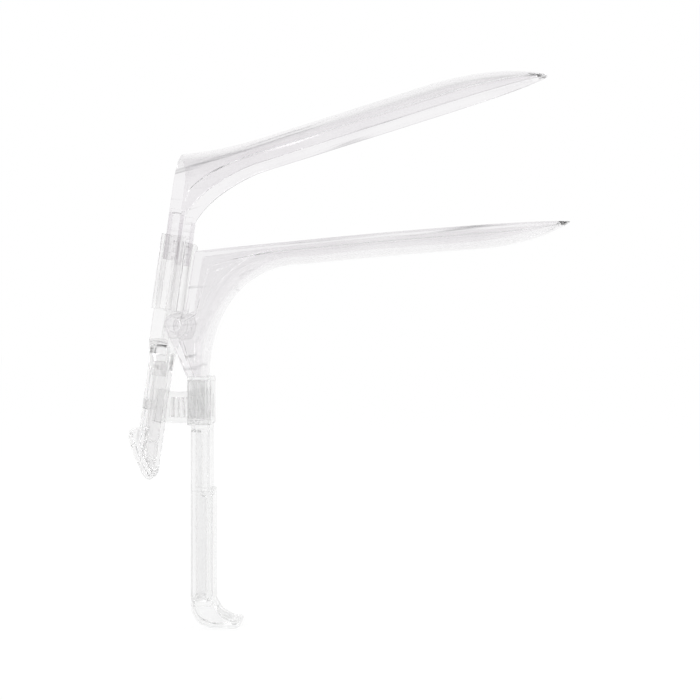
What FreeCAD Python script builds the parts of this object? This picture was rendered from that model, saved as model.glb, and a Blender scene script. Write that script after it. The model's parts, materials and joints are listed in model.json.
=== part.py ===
import FreeCAD, Part
import math
import os

import Sketcher
from FreeCAD import Placement, Rotation, Vector

# Bivalve speculum, a clear disposable one, in four mouldings: the lower blade with its handle, the upper blade,
# the yoke with its thumb lever, and the toothed strap between the lever and the handle.
# Frame: +X towards the blades' tips, +Z up along the handle, Y across, and the origin in the middle of the grip.
# Millimetres and degrees. The yoke's own frame, used for the yoke, the legs and the strap, has its origin on the
# hinge's axis and leans forward by lever_lean.

# Driving dimensions, each with what it measures
SIZES = {
    "wall": (1.6, "wall of the mouldings"),
    "running": (0.3, "free space between pieces that slide"),
    "hinge_x": (-7.5, "hinge axis, along X"),
    "hinge_z": (57.0, "hinge axis, above the origin"),
    "lever_lean": (8.0, "lean of the yoke and lever from upright"),
    "trunnion_radius": (2.2, "trunnions on the ears"),
    "hinge_fit": (0.06, "radial clearance of a trunnion in its hole"),
    "mouth_half": (15.6, "half the width of the lower half of the mouth, outside"),
    "mouth_corner_x": (0.3, "upper rear corner of the lower half of the mouth"),
    "mouth_corner_z": (79.3, "upper rear corner of the lower half of the mouth"),
    "low_tilt": (4.94, "rise of the lower blade's rim"),
    "low_reach": (113.2, "lower blade, mouth corner to tip, along the rim"),
    "low_bow": (0.85, "bow of the lower blade's rim"),
    "low_depth": (6.7, "depth of the lower blade's trough"),
    "low_half": (13.1, "half the width of the lower blade"),
    "low_tip": (29.4, "length of the lower blade's rounded tip"),
    "flare_run": (28.2, "lower flare, from the neck's front to where the trough begins"),
    "flare_rise": (34.4, "lower flare, from the collar to the trough"),
    "neck_front": (1.8, "front of the neck, along X"),
    "neck_half": (11.0, "half the width of the neck, collar and grip"),
    "up_tilt": (17.6, "rise of the upper blade's rim"),
    "up_root_x": (21.9, "a point on the upper blade's rim, where the flare begins"),
    "up_root_z": (107.1, "a point on the upper blade's rim, where the flare begins"),
    "up_reach": (88.6, "upper blade, from that point to the tip, along the rim"),
    "up_depth": (8.6, "depth of the upper blade's trough"),
    "up_half": (14.9, "half the width of the upper blade"),
    "up_tip": (36.0, "length of the upper blade's rounded tip"),
    "blade_wall": (1.5, "wall of the blades"),
    "neck_corner": (4.5, "depth of the neck's rounded front corners"),
    "mouth_corner": (8.0, "depth of the lower mouth's rounded front corners"),
    "arch_corner": (11.5, "depth of the upper mouth's rounded top corners"),
    "leg_back": (-6.0, "back of the upper blade's legs, in the yoke's frame"),
    "leg_depth": (4.8, "depth of a leg from back to front"),
    "leg_foot": (19.0, "foot of the legs above the hinge, in the yoke's frame"),
    "leg_head": (33.0, "where a leg has run into the mouth's wall, above the hinge"),
    "wing_foot": (29.0, "foot of the upper mouth's side walls, above the hinge"),
    "arch_top": (52.6, "top of the mouth above the hinge, in the yoke's frame"),
    "rail_foot": (3.9, "foot of the yoke's rails above the hinge"),
    "rail_top": (26.4, "top of the yoke's rails above the hinge"),
    "rail_back": (-7.1, "back of the rails, in the yoke's frame"),
    "rail_deep": (7.4, "depth of the rails from back to front"),
    "rail_thick": (3.8, "width of a rail across"),
    "rail_round": (1.2, "rounding of a rail's upper front corner"),
    "fork_wall": (1.5, "side wall of the fork"),
    "trunnion_proud": (1.0, "how far a trunnion stands out of the fork"),
    "slot_wide": (2.6, "slot in a rail for the rider's neck"),
    "tooth_rise": (0.5, "height of a click tooth"),
    "height_pitch": (2.4, "pitch of the height teeth"),
    "lever_back": (-7.15, "back of the lever, in the yoke's frame"),
    "lever_deep": (6.3, "depth of the lever from back to front"),
    "lever_half": (7.5, "half the width of the lever"),
    "lever_foot": (-48.0, "foot of the lever, in the yoke's frame"),
    "fork_seat": (-5.5, "floor of the fork's opening, in the yoke's frame"),
    "pad_half": (9.0, "half the width of the thumb pad"),
    "pad_top": (-33.4, "top of the thumb pad, in the yoke's frame"),
    "pad_out": (2.6, "how far the pad's lip stands out behind the lever"),
    "pad_groove": (0.55, "radius of a grip groove across the pad"),
    "foot_x": (-1.4, "lowest point of the lever's foot, in the yoke's frame"),
    "strap_near": (20.5, "strap's upper edge, from the hinge"),
    "strap_far": (30.1, "strap's lower edge, from the hinge"),
    "strap_half": (2.0, "half the strap's width over rails and teeth"),
    "strap_web": (1.0, "half the strap's width at its web"),
    "strap_rim": (1.7, "height of the rims above and below the strap's teeth"),
    "peg_half": (2.85, "half the width of the strap's peg in the lever"),
    "peg_inset": (3.2, "lever's seat for the peg, inside the strap's edges"),
    "peg_fit": (0.15, "clearance around the peg"),
    "strap_reach": (26.5, "strap's free end, in degrees forward of straight down"),
    "tooth_step": (3.625, "pitch of the strap's teeth, in degrees"),
    "tooth_first": (18.6, "foremost tooth, in degrees forward of straight down"),
    "tooth_long": (1.1, "length of a strap tooth at its root"),
    "tooth_crest": (0.35, "length of a strap tooth at its crest"),
    "window_half": (2.6, "half the width of the strap's window"),
    "collar_foot": (26.6, "foot of the collar"),
    "collar_top": (41.4, "top of the collar"),
    "collar_back": (-4.3, "back of the collar"),
    "collar_deep": (7.2, "depth of the collar"),
    "stem_front": (2.4, "front of the handle between the collar and the grip"),
    "grip_back": (-3.2, "back of the handle"),
    "grip_front": (3.4, "front of the grip"),
    "grip_top": (6.6, "top of the grip"),
    "grip_foot": (-28.0, "where the grip turns into the hook"),
    "stem_web": (2.2, "front wall of the channel in the stem"),
    "grip_web": (1.8, "front wall of the channel in the grip"),
    "grip_shelf": (1.6, "shelf across the channel at the grip's top"),
    "grip_cheek": (1.8, "side walls of the handle's channel"),
    "hook_half": (8.0, "half the width of the hook"),
    "hook_bend": (5.6, "radius inside the hook's bend"),
    "hook_reach": (8.5, "hook's tip in front of the grip"),
    "hook_wall": (2.0, "thickness of the hook at its lip"),
}

doc = FreeCAD.newDocument("speculum")
sheet = doc.addObject("Spreadsheet::Sheet", "dims")
for row, (alias, (value, note)) in enumerate(SIZES.items(), start=1):
    sheet.set(f"A{row}", note)
    sheet.set(f"B{row}", str(value))
    sheet.setAlias(f"B{row}", alias)
doc.recompute()


def size(alias):
    """The value of one driving dimension, read from the sheet."""
    return float(sheet.get(alias))


def rise(angle, along):
    """A step of a given length at an angle above +X, in the XZ plane."""
    return Vector(along * math.cos(math.radians(angle)), 0, along * math.sin(math.radians(angle)))


# Sketch helpers
def origin_plane(body, role):
    """One of the body's own origin planes, found by its role."""
    return next(item for item in body.Origin.OriginFeatures if item.Role == role)


def outline(body, name, role, corners, offset="0"):
    """A closed sketch of straight lines, each corner held by two expressions, on an origin plane or beside it."""
    sketch = body.newObject("Sketcher::SketchObject", name)
    sketch.AttachmentSupport = [(origin_plane(body, role), "")]
    sketch.MapMode = "FlatFace"
    if offset != "0":
        sketch.setExpression("AttachmentOffset.Base.z", offset)
    doc.recompute()
    points = [Vector(sketch.evalExpression(a), sketch.evalExpression(b), 0) for a, b in corners]
    last = len(points) - 1
    for i, point in enumerate(points):
        sketch.addGeometry(Part.LineSegment(point, points[0 if i == last else i + 1]), False)
    for i in range(len(points)):
        sketch.addConstraint(Sketcher.Constraint("Coincident", i, 2, 0 if i == last else i + 1, 1))
    for i, (a, b) in enumerate(corners):
        for kind, value, text in (("DistanceX", points[i].x, a), ("DistanceY", points[i].y, b)):
            index = sketch.addConstraint(Sketcher.Constraint(kind, -1, 1, i, 1, value))
            sketch.setExpression(f"Constraints[{index}]", text)
    return sketch


def disc(body, name, role, across, up, radius, offset="0"):
    """A sketch of one circle, its centre and radius held by expressions."""
    sketch = body.newObject("Sketcher::SketchObject", name)
    sketch.AttachmentSupport = [(origin_plane(body, role), "")]
    sketch.MapMode = "FlatFace"
    if offset != "0":
        sketch.setExpression("AttachmentOffset.Base.z", offset)
    centre = Vector(sketch.evalExpression(across), sketch.evalExpression(up), 0)
    value = sketch.evalExpression(radius)
    sketch.addGeometry(Part.Circle(centre, Vector(0, 0, 1), value), False)
    rules = (("DistanceX", centre.x, across), ("DistanceY", centre.y, up))
    for kind, number, text in rules:
        index = sketch.addConstraint(Sketcher.Constraint(kind, -1, 1, 0, 3, number))
        sketch.setExpression(f"Constraints[{index}]", text)
    index = sketch.addConstraint(Sketcher.Constraint("Radius", 0, value))
    sketch.setExpression(f"Constraints[{index}]", radius)
    return sketch


def pad(body, name, sketch, length, both=False, back=False):
    """A pad of a sketch: forward, backward or half to each side."""
    feature = body.newObject("PartDesign::Pad", name)
    feature.Profile = sketch
    feature.Midplane = both
    feature.Reversed = back
    feature.setExpression("Length", length)
    doc.recompute()
    return feature


def pocket(body, name, sketch, length, both=False, back=False):
    """A pocket of a sketch, which has to take some of the body away."""
    before = body.Shape.Volume
    feature = body.newObject("PartDesign::Pocket", name)
    feature.Profile = sketch
    feature.Midplane = both
    feature.Reversed = back
    feature.setExpression("Length", length)
    doc.recompute()
    if not feature.Shape.Volume < before - 1e-6:
        raise RuntimeError(f"{name} cuts nothing")
    return feature


def round_edges(body, name, radius, wanted):
    """Rounds the body's edges that wanted picks by their middle and direction."""
    picked = []
    for number, edge in enumerate(body.Shape.Edges, start=1):
        if edge.Curve.TypeId == "Part::GeomLine" and wanted(edge.CenterOfMass, edge.Curve.Direction):
            picked.append(f"Edge{number}")
    base = body.Tip
    feature = body.newObject("PartDesign::Fillet", name)
    feature.Base = (base, picked)
    feature.setExpression("Radius", radius)
    body.Tip = feature
    doc.recompute()
    return feature


def mirror(body, name, features):
    """Copies features to the other side of the plane of symmetry."""
    copy = body.newObject("PartDesign::Mirrored", name)
    copy.Originals = features
    copy.MirrorPlane = (origin_plane(body, "XZ_Plane"), [""])
    body.Tip = copy
    doc.recompute()
    return copy


def new_body(name, yoke_frame=False):
    """An empty body, in the part's frame or in the yoke's leaning frame."""
    body = doc.addObject("PartDesign::Body", name)
    if yoke_frame:
        body.setExpression("Placement.Base.x", "dims.hinge_x")
        body.setExpression("Placement.Base.z", "dims.hinge_z")
        body.Placement = Placement(Vector(0, 0, 0), Rotation(Vector(0, 1, 0), 1))
        body.setExpression("Placement.Rotation.Angle", "dims.lever_lean")
        doc.recompute()
    return body


def fused(name, pieces):
    """One moulding made of several solids."""
    union = doc.addObject("Part::MultiFuse", name)
    union.Shapes = pieces
    union.Refine = False
    doc.recompute()
    return union


def yoke_point(forward, up):
    """A point of the yoke's frame, given in the part's frame."""
    lean = math.radians(size("lever_lean"))
    across = forward * math.cos(lean) + up * math.sin(lean)
    return Vector(size("hinge_x") + across, 0, size("hinge_z") + up * math.cos(lean) - forward * math.sin(lean))


# Blade skins: lofts of U sections, close together where the form bends
TIP_STEPS = 8
FLARE_STEPS = 16
ARCH_STEPS = 12
LIP_STATIONS = 3
RIM_CORNER = 0.86
TROUGH_FULLNESS = 0.62
MOUTH_FULLNESS = 0.8


def u_section(foot, aim, half, corner, height, fullness):
    """A closed U: two straight walls on a three-centred arch.

    foot is the middle of the U's bottom, aim the direction of its walls, half its half width, corner the height
    where a wall turns straight, height the walls' whole height, and fullness the radius of the two corner arcs as a
    share of corner.
    """
    radius = fullness * corner
    centre = half - radius
    floor_radius = (centre * centre + corner * corner - radius * radius) / (2 * (corner - radius))
    turn = math.atan2(floor_radius - corner, centre)

    def at(across, up):
        return foot + Vector(0, across, 0) + aim * up

    def on_corner(side, angle):
        return at(side * (centre + radius * math.cos(angle)), corner - radius * math.sin(angle))

    near = Part.Arc(at(-half, corner), on_corner(-1, turn / 2), on_corner(-1, turn)).toShape()
    floor = Part.Arc(on_corner(-1, turn), at(0, 0), on_corner(1, turn)).toShape()
    far = Part.Arc(on_corner(1, turn), on_corner(1, turn / 2), at(half, corner)).toShape()
    top_near = at(-half, height)
    top_far = at(half, height)
    return Part.Wire([Part.makeLine(top_near, at(-half, corner)), near, floor, far,
                      Part.makeLine(at(half, corner), top_far), Part.makeLine(top_far, top_near)])


def skin(stations, wall):
    """A U-shaped shell: the outer loft less an inner one, which leaves the tip's first stations solid.

    Each station is (foot, aim, half, corner, height, fullness). The inner loft runs 1 mm past the far end.
    """
    outer = Part.makeLoft([u_section(*station) for station in stations], True, True)
    foot, aim, half, corner, height, fullness = stations[-1]
    past = Vector(aim.z, 0, -aim.x)
    if past.dot(foot - stations[-2][0]) < 0:
        past = past * -1
    inner_wires = []
    for foot, aim, half, corner, height, fullness in stations[LIP_STATIONS:] + [(foot + past, *stations[-1][1:])]:
        inner = u_section(foot + aim * wall, aim, half - wall, max(corner - wall, 0.4), height + 1, fullness)
        inner_wires.append(inner)
    return outer.cut(Part.makeLoft(inner_wires, True, True))


def tip_share(along, start, length):
    """How much of a blade's depth is left this far along: all of it, and less over the rounded tip."""
    share = max(0.0, (along - start) / length)
    return max(0.0, 1 - share * share)


def tip_distances(length):
    """Distances back from a blade's tip, closest together at the tip."""
    return [length * max((step / TIP_STEPS) ** 2, 0.005) for step in range(TIP_STEPS + 1)]


def side_slab(edges, half):
    """A prism across the part from a closed chain of edges in the XZ plane."""
    face = Part.Face(Part.Wire(edges))
    return face.extrude(Vector(0, 2 * half, 0)).translated(Vector(0, -half, 0))


def curve_through(points, leaving=None, arriving=None):
    """A smooth edge through points, with the directions in which it leaves and arrives if they are given."""
    curve = Part.BSplineCurve()
    if leaving is None:
        curve.interpolate(points)
    else:
        curve.interpolate(Points=points, InitialTangent=leaving, FinalTangent=arriving)
    return curve.toShape()


# Lower blade: rim nearly straight, keel a quarter superellipse from the neck to the trough
low_start = Vector(size("mouth_corner_x"), 0, size("mouth_corner_z"))
low_tip_start = size("low_reach") - size("low_tip")


def low_rim(along):
    """A point of the lower blade's rim."""
    share = along / size("low_reach")
    bow = Vector(0, 0, 4 * size("low_bow") * share * (1 - share))
    return low_start + rise(size("low_tilt"), along) + bow


def low_station(along):
    """The section of the lower blade at a distance along its rim."""
    left = tip_share(along, low_tip_start, size("low_tip"))
    depth = size("low_depth") * left ** 0.8
    aim = rise(size("low_tilt") + 90, 1)
    half = max(size("low_half") * left ** 0.5, 1.2)
    return (low_rim(along) - aim * depth, aim, half, RIM_CORNER * depth, depth + 2 + 2 * left, TROUGH_FULLNESS)


def flare_station(turn):
    """The section of the lower flare: 90 degrees at the trough, 0 in the neck."""
    power = 2 / 2.1
    cosine = max(math.cos(math.radians(turn)), 0.0) ** power
    sine = max(math.sin(math.radians(turn)), 0.0) ** power
    centre_x = size("neck_front") + size("flare_run")
    foot = Vector(centre_x - size("flare_run") * cosine, 0, size("collar_top") + size("flare_rise") * sine)
    aim = rise(180 - turn * (1 - size("low_tilt") / 90), 1)
    opened = min(1.0, turn / 17) ** 1.5
    closing = max(0.0, (turn - 45) / 45)
    half = size("neck_half") + (size("mouth_half") - size("neck_half")) * opened
    half = half + (size("low_half") - half) * closing * closing * (3 - 2 * closing)
    bulge = size("mouth_corner") - size("neck_corner")
    corner = size("neck_corner") + bulge * math.sin(math.radians(min(turn, 60) * 1.5))
    corner = corner + (RIM_CORNER * size("low_depth") - corner) * closing
    fullness = MOUTH_FULLNESS + (TROUGH_FULLNESS - MOUTH_FULLNESS) * closing
    return (foot, aim, half, corner, 15 + 22 * math.sin(math.radians(2 * turn)) - 4 * closing, fullness)


low_trough = low_tip_start - size("flare_run")
low_stations = [low_station(size("low_reach") - back) for back in tip_distances(size("low_tip"))]
low_stations += [low_station(low_tip_start - low_trough * share) for share in (0.35, 0.7)]
low_stations += [flare_station(90 * (1 - step / FLARE_STEPS) ** 1.4) for step in range(FLARE_STEPS + 1)]

ear_radius = 3.4
hinge = Vector(size("hinge_x"), 0, size("hinge_z"))
mouth_foot = Vector(size("mouth_corner_x") - 0.6, 0, hinge.z + ear_radius + 1.2)
ear_top = hinge + Vector(0, 0, ear_radius)
ear_back = hinge + Vector(-ear_radius, 0, 0)
ear_low = hinge + rise(222, ear_radius)
neck_back = Vector(size("collar_back"), 0, size("collar_top") - 0.5)
below = Vector(size("flare_run") + 10, 0, size("collar_top") - 0.5)
under_tip = low_rim(size("low_reach")) + Vector(1, 0, -12)
past_tip = low_rim(size("low_reach")) + Vector(1, 0, 0.1)
rim_edge = curve_through([low_rim(size("low_reach") * share) for share in (1, 0.75, 0.5, 0.25, 0)])
low_profile = [
    rim_edge,
    Part.makeLine(low_start, mouth_foot),
    Part.makeLine(mouth_foot, ear_top),
    Part.Arc(ear_top, ear_back, ear_low).toShape(),
    Part.makeLine(ear_low, neck_back),
    Part.makeLine(neck_back, below),
    Part.makeLine(below, under_tip),
    Part.makeLine(under_tip, past_tip),
    Part.makeLine(past_tip, low_rim(size("low_reach"))),
]
low_skin = doc.addObject("Part::Feature", "low_skin")
low_skin.Shape = skin(low_stations, size("blade_wall")).common(side_slab(low_profile, 30))

# Handle: collar, stem, grip and hook, hollow from behind
handle = new_body("handle")
grip = outline(handle, "grip_side", "XZ_Plane", [
    ("dims.grip_back", "dims.grip_foot"), ("dims.grip_front", "dims.grip_foot"),
    ("dims.grip_front", "dims.grip_top"), ("dims.grip_back", "dims.grip_top")])
pad(handle, "grip", grip, "2 * dims.neck_half", both=True)


def upright_edge(middle, direction):
    """An upright corner of the grip."""
    return abs(direction.z) > 0.99 and abs(middle.y) > size("neck_half") - 0.1


round_edges(handle, "corner_rounding", "1.1", upright_edge)
stem = outline(handle, "stem_side", "XZ_Plane", [
    ("dims.grip_back", "dims.grip_top - 1"), ("dims.stem_front", "dims.grip_top - 1"),
    ("dims.stem_front", "dims.collar_foot + 1"), ("dims.grip_back", "dims.collar_foot + 1")])
pad(handle, "stem", stem, "2 * dims.neck_half - 1.2", both=True)
collar = outline(handle, "collar_side", "XZ_Plane", [
    ("dims.collar_back", "dims.collar_foot"), ("dims.collar_back + dims.collar_deep", "dims.collar_foot"),
    ("dims.collar_back + dims.collar_deep", "dims.collar_top"), ("dims.collar_back", "dims.collar_top")])
pad(handle, "collar", collar, "2 * dims.neck_half", both=True)

hook = handle.newObject("Sketcher::SketchObject", "hook_side")
hook.AttachmentSupport = [(origin_plane(handle, "XZ_Plane"), "")]
hook.MapMode = "FlatFace"
bend = size("hook_bend")
bend_x = size("grip_front") + bend
lip_top = size("grip_foot") - bend
tip_x = size("grip_front") + size("hook_reach")
corner = math.sqrt(0.5)
lip_foot = lip_top - size("hook_wall")
back_top = Vector(size("grip_back"), size("grip_foot") + 1, 0)
back_foot = Vector(size("grip_back"), size("grip_foot") - 0.6, 0)
heel_foot = Vector(size("grip_front") + 1.2, lip_foot + 0.2, 0)
lip_low = Vector(tip_x - 1, lip_foot, 0)
lip_high = Vector(tip_x - 1, lip_top, 0)
hook.addGeometry(Part.LineSegment(back_top, back_foot), False)
hook.addGeometry(Part.Arc(back_foot, Vector(size("grip_back") + 2.1, lip_top - 0.1, 0), heel_foot), False)
hook.addGeometry(Part.LineSegment(heel_foot, lip_low), False)
hook.addGeometry(Part.Arc(lip_low, Vector(tip_x, lip_top - size("hook_wall") / 2, 0), lip_high), False)
hook.addGeometry(Part.LineSegment(lip_high, Vector(bend_x, lip_top, 0)), False)
inside = Part.Arc(Vector(bend_x, lip_top, 0),
                  Vector(bend_x - bend * corner, lip_top + bend * (1 - corner), 0),
                  Vector(size("grip_front"), size("grip_foot"), 0))
hook.addGeometry(inside, False)
hook.addGeometry(Part.LineSegment(Vector(size("grip_front"), size("grip_foot"), 0),
                                  Vector(size("grip_front"), size("grip_foot") + 1, 0)), False)
hook.addGeometry(Part.LineSegment(Vector(size("grip_front"), size("grip_foot") + 1, 0), back_top), False)
doc.recompute()
pad(handle, "hook", hook, "2 * dims.hook_half", both=True)


channel_side = "dims.neck_half - dims.grip_cheek"
channels = [("stem", "dims.grip_foot + 1", "dims.collar_foot - dims.wall", "dims.stem_front - dims.stem_web"),
            ("grip", "dims.grip_foot + 1", "dims.grip_top - dims.grip_shelf", "dims.grip_front - dims.grip_web")]
for name, low, high, floor in channels:
    channel = outline(handle, f"{name}_channel_back", "YZ_Plane", [
        (f"-({channel_side})", low), (channel_side, low), (channel_side, high), (f"-({channel_side})", high)],
        offset=floor)
    pocket(handle, f"{name}_channel", channel, "20")
cell_side = "dims.window_half + dims.wall"
cells = [(cell_side, channel_side), (f"-({channel_side})", f"-({cell_side})")]
for number, (low, high) in enumerate(cells, start=1):
    cell = outline(handle, f"collar_cell_{number}", "YZ_Plane", [
        (low, "dims.collar_foot + dims.wall"), (high, "dims.collar_foot + dims.wall"),
        (high, "dims.collar_top + 1"), (low, "dims.collar_top + 1")],
        offset="dims.collar_back + dims.collar_deep - dims.wall")
    pocket(handle, f"cell_{number}", cell, "20")
window = outline(handle, "window_back", "YZ_Plane", [
    ("-dims.window_half", "dims.collar_foot + 0.2"), ("dims.window_half", "dims.collar_foot + 0.2"),
    ("dims.window_half", "dims.collar_top - 1.4"), ("-dims.window_half", "dims.collar_top - 1.4")])
pocket(handle, "window", window, "40", both=True)
rib = disc(handle, "pawl_rib_top", "XY_Plane", "-1.6", "dims.window_half", "dims.window_half - dims.strap_half - 0.08",
           offset="dims.collar_foot")
pawl = pad(handle, "pawl_rib", rib, "dims.collar_top - dims.collar_foot - 1")
mirror(handle, "pawl_ribs", [pawl])


pins = []
for side in (-1, 1):
    pin = doc.addObject("Part::Cylinder", f"trunnion_{'near' if side < 0 else 'far'}")
    pin.setExpression("Radius", "dims.trunnion_radius")
    pin.setExpression("Height", "2 * dims.blade_wall + 3 * dims.running + dims.fork_wall + dims.trunnion_proud - 0.2")
    pin.Placement = Placement(Vector(0, 0, 0), Rotation(Vector(1, 0, 0), -90 * side))
    pin.setExpression("Placement.Base.x", "dims.hinge_x")
    pin.setExpression("Placement.Base.z", "dims.hinge_z")
    pin.setExpression("Placement.Base.y", f"{side} * (dims.mouth_half - dims.blade_wall + 0.2)")
    pins.append(pin)
doc.recompute()
lower_blade_handle = fused("lower_blade_handle", [low_skin, handle] + pins)

# Upper blade: rim nearly straight, crown a straight ridge that bends down to the tip, mouth a rounded arch
up_start = Vector(size("up_root_x"), 0, size("up_root_z"))
up_tip_start = size("up_reach") - size("up_tip")
arch = yoke_point(size("leg_back") - 0.2, size("arch_top"))
leg_half = size("mouth_half") + size("running") + 0.1 + size("blade_wall")


def up_rim(along):
    """A point of the upper blade's rim."""
    return up_start + rise(size("up_tilt"), along)


def up_station(along):
    """The section of the upper blade at a distance along its rim, hanging from the crown."""
    left = tip_share(along, up_tip_start, size("up_tip"))
    depth = size("up_depth") * left ** 0.8
    aim = rise(size("up_tilt") - 90, 1)
    half = max(size("up_half") * tip_share(along, up_tip_start + 4, size("up_tip") - 4) ** 0.5, 1.2)
    return (up_rim(along) - aim * depth, aim, half, RIM_CORNER * depth, depth + 2 + 2 * left, TROUGH_FULLNESS)


def arch_station(share):
    """The section of the upper mouth: share 0 where the blade begins, 1 at the mouth's rear plane."""
    start = up_rim(0) - rise(size("up_tilt") - 90, size("up_depth"))
    level = rise(size("up_tilt"), 1)
    reach = (start - arch).Length
    control = start - level * (0.55 * reach)
    crown = start * (1 - share) ** 2 + control * (2 * share * (1 - share)) + arch * share * share
    lean = size("up_tilt") + (-size("lever_lean") - size("up_tilt")) * share
    eased = share * share * (3 - 2 * share)
    half = size("up_half") + (leg_half - size("up_half")) * eased
    trough = RIM_CORNER * size("up_depth")
    corner = trough + (size("arch_corner") - trough) * eased
    height = size("up_depth") + 6 + 26 * share ** 0.7
    fullness = TROUGH_FULLNESS + (MOUTH_FULLNESS - TROUGH_FULLNESS) * eased
    return (crown, rise(lean - 90, 1), half, corner, height, fullness)


up_stations = [up_station(size("up_reach") - back) for back in tip_distances(size("up_tip"))]
up_stations += [arch_station(step / ARCH_STEPS) for step in range(ARCH_STEPS + 1)]

leg_front = size("leg_back") + size("leg_depth")
wing_foot_back = yoke_point(size("leg_back"), size("wing_foot"))
wing_foot_front = yoke_point(leg_front, size("wing_foot"))
above = yoke_point(size("leg_back"), size("arch_top") + 6)
wing_start = up_rim(-4)
wing_bend = [up_rim(-18) + Vector(0, 0, -2.6), yoke_point(leg_front + 0.7, size("wing_foot") + 5.6)]
wing = curve_through([wing_start] + wing_bend + [wing_foot_front], rise(size("up_tilt") + 180, 1),
                     yoke_point(0, 0) - yoke_point(0, 1))
up_profile = [
    wing,
    Part.makeLine(wing_foot_front, wing_foot_back),
    Part.makeLine(wing_foot_back, above),
    Part.makeLine(above, up_rim(size("up_reach")) + Vector(1, 0, 12)),
    Part.makeLine(up_rim(size("up_reach")) + Vector(1, 0, 12), up_rim(size("up_reach")) + Vector(1, 0, -0.1)),
    Part.makeLine(up_rim(size("up_reach")) + Vector(1, 0, -0.1), up_rim(size("up_reach"))),
    Part.makeLine(up_rim(size("up_reach")), wing_start),
]
up_skin = doc.addObject("Part::Feature", "up_skin")
up_skin.Shape = skin(up_stations, size("blade_wall")).common(side_slab(up_profile, 30))

# Legs, riders and height teeth, in the yoke's frame
legs = new_body("legs", yoke_frame=True)
leg_inner = "dims.mouth_half + dims.running + 0.1"
rider_in = f"{leg_inner} + dims.blade_wall - 0.2"
head_in = f"{leg_inner} + dims.blade_wall + 1.9"
head_out = f"{leg_inner} + dims.blade_wall + 2.5"
leg_side = outline(legs, "leg_side", "YZ_Plane", [
    (leg_inner, "dims.leg_foot"), (f"{leg_inner} + dims.blade_wall + 0.1", "dims.leg_foot"),
    (f"{leg_inner} + dims.blade_wall + 0.1", "dims.leg_head + 2"), (leg_inner, "dims.leg_head + 2")],
    offset="dims.leg_back")
leg = pad(legs, "leg", leg_side, "dims.leg_depth")
neck_side = outline(legs, "rider_neck_side", "YZ_Plane", [
    (rider_in, "dims.leg_foot"), (head_in, "dims.leg_foot"), (head_in, "dims.leg_head"),
    (rider_in, "dims.leg_head")],
    offset="dims.leg_back + (dims.leg_depth - dims.slot_wide) / 2 + 0.2")
rider_neck = pad(legs, "rider_neck", neck_side, "dims.slot_wide - 0.4")
head_side = outline(legs, "rider_head_side", "YZ_Plane", [
    (head_in, "dims.leg_foot"), (head_out, "dims.leg_foot"), (head_out, "dims.leg_head"),
    (head_in, "dims.leg_head")],
    offset="dims.leg_back + 0.1")
rider_head = pad(legs, "rider_head", head_side, "dims.leg_depth - 0.2")
mirror(legs, "other_leg", [leg, rider_neck, rider_head])
for side, sign in (("near", "-"), ("far", "")):
    tooth_side = outline(legs, f"height_tooth_{side}_side", "YZ_Plane", [
        (f"{sign}({head_out} - 0.1)", "dims.leg_foot + 1"),
        (f"{sign}({head_out} + dims.tooth_rise)", "dims.leg_foot + 1.9"),
        (f"{sign}({head_out} + dims.tooth_rise)", "dims.leg_foot + 2.2"),
        (f"{sign}({head_out} - 0.1)", "dims.leg_foot + 2.2")], offset="dims.leg_back + 1")
    height_tooth = pad(legs, f"height_tooth_{side}", tooth_side, "dims.leg_depth - 2")
    height_teeth = legs.newObject("PartDesign::LinearPattern", f"height_teeth_{side}")
    height_teeth.Originals = [height_tooth]
    height_teeth.Direction = (tooth_side, ["V_Axis"])
    height_teeth.Occurrences = 6
    height_teeth.setExpression("Length", "5 * dims.height_pitch")
    legs.Tip = height_teeth
    doc.recompute()

upper_blade = fused("upper_blade", [up_skin, legs])

# Yoke and thumb lever, in their own frame
yoke = new_body("yoke_lever", yoke_frame=True)
fork_half = "dims.mouth_half + dims.blade_wall + 3 * dims.running + dims.fork_wall"
fork_inner = "dims.mouth_half + dims.blade_wall + 2 * dims.running + 0.1"
rail_out = f"{fork_inner} + dims.rail_thick"
fork_front = outline(yoke, "fork_front", "YZ_Plane", [
    (fork_half, "dims.rail_foot + 1"), (f"-({fork_half})", "dims.rail_foot + 1"),
    (f"-({fork_half})", "dims.fork_seat - 0.5"), ("-dims.lever_half - 0.4", "dims.fork_seat - 9"),
    ("-dims.lever_half", "dims.fork_seat - 11"), ("dims.lever_half", "dims.fork_seat - 11"),
    ("dims.lever_half + 0.4", "dims.fork_seat - 9"), (fork_half, "dims.fork_seat - 0.5")],
    offset="dims.lever_back + 0.6")
pad(yoke, "fork", fork_front, "dims.lever_deep - 0.9")
boss_side = disc(yoke, "boss_side", "XZ_Plane", "0", "0", "dims.trunnion_radius + 2", offset=f"-({fork_half})")
pad(yoke, "bosses", boss_side, f"2 * ({fork_half})", back=False)
lever_side = outline(yoke, "lever_side", "XZ_Plane", [
    ("dims.lever_back", "dims.fork_seat - 3"), ("dims.lever_back", "dims.pad_top + 1"),
    ("dims.lever_back - dims.pad_out", "dims.pad_top"), ("dims.lever_back - dims.pad_out - 0.2", "dims.pad_top - 2.8"),
    ("dims.lever_back - 0.4", "dims.pad_top - 7.6"), ("dims.foot_x - 3.2", "dims.lever_foot + 2.1"),
    ("dims.foot_x - 1.8", "dims.lever_foot + 0.6"), ("dims.foot_x", "dims.lever_foot"),
    ("dims.lever_back + dims.lever_deep", "dims.lever_foot + 1.2"),
    ("dims.lever_back + dims.lever_deep", "dims.fork_seat - 3")])
pad(yoke, "lever", lever_side, "2 * dims.lever_half", both=True)
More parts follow.
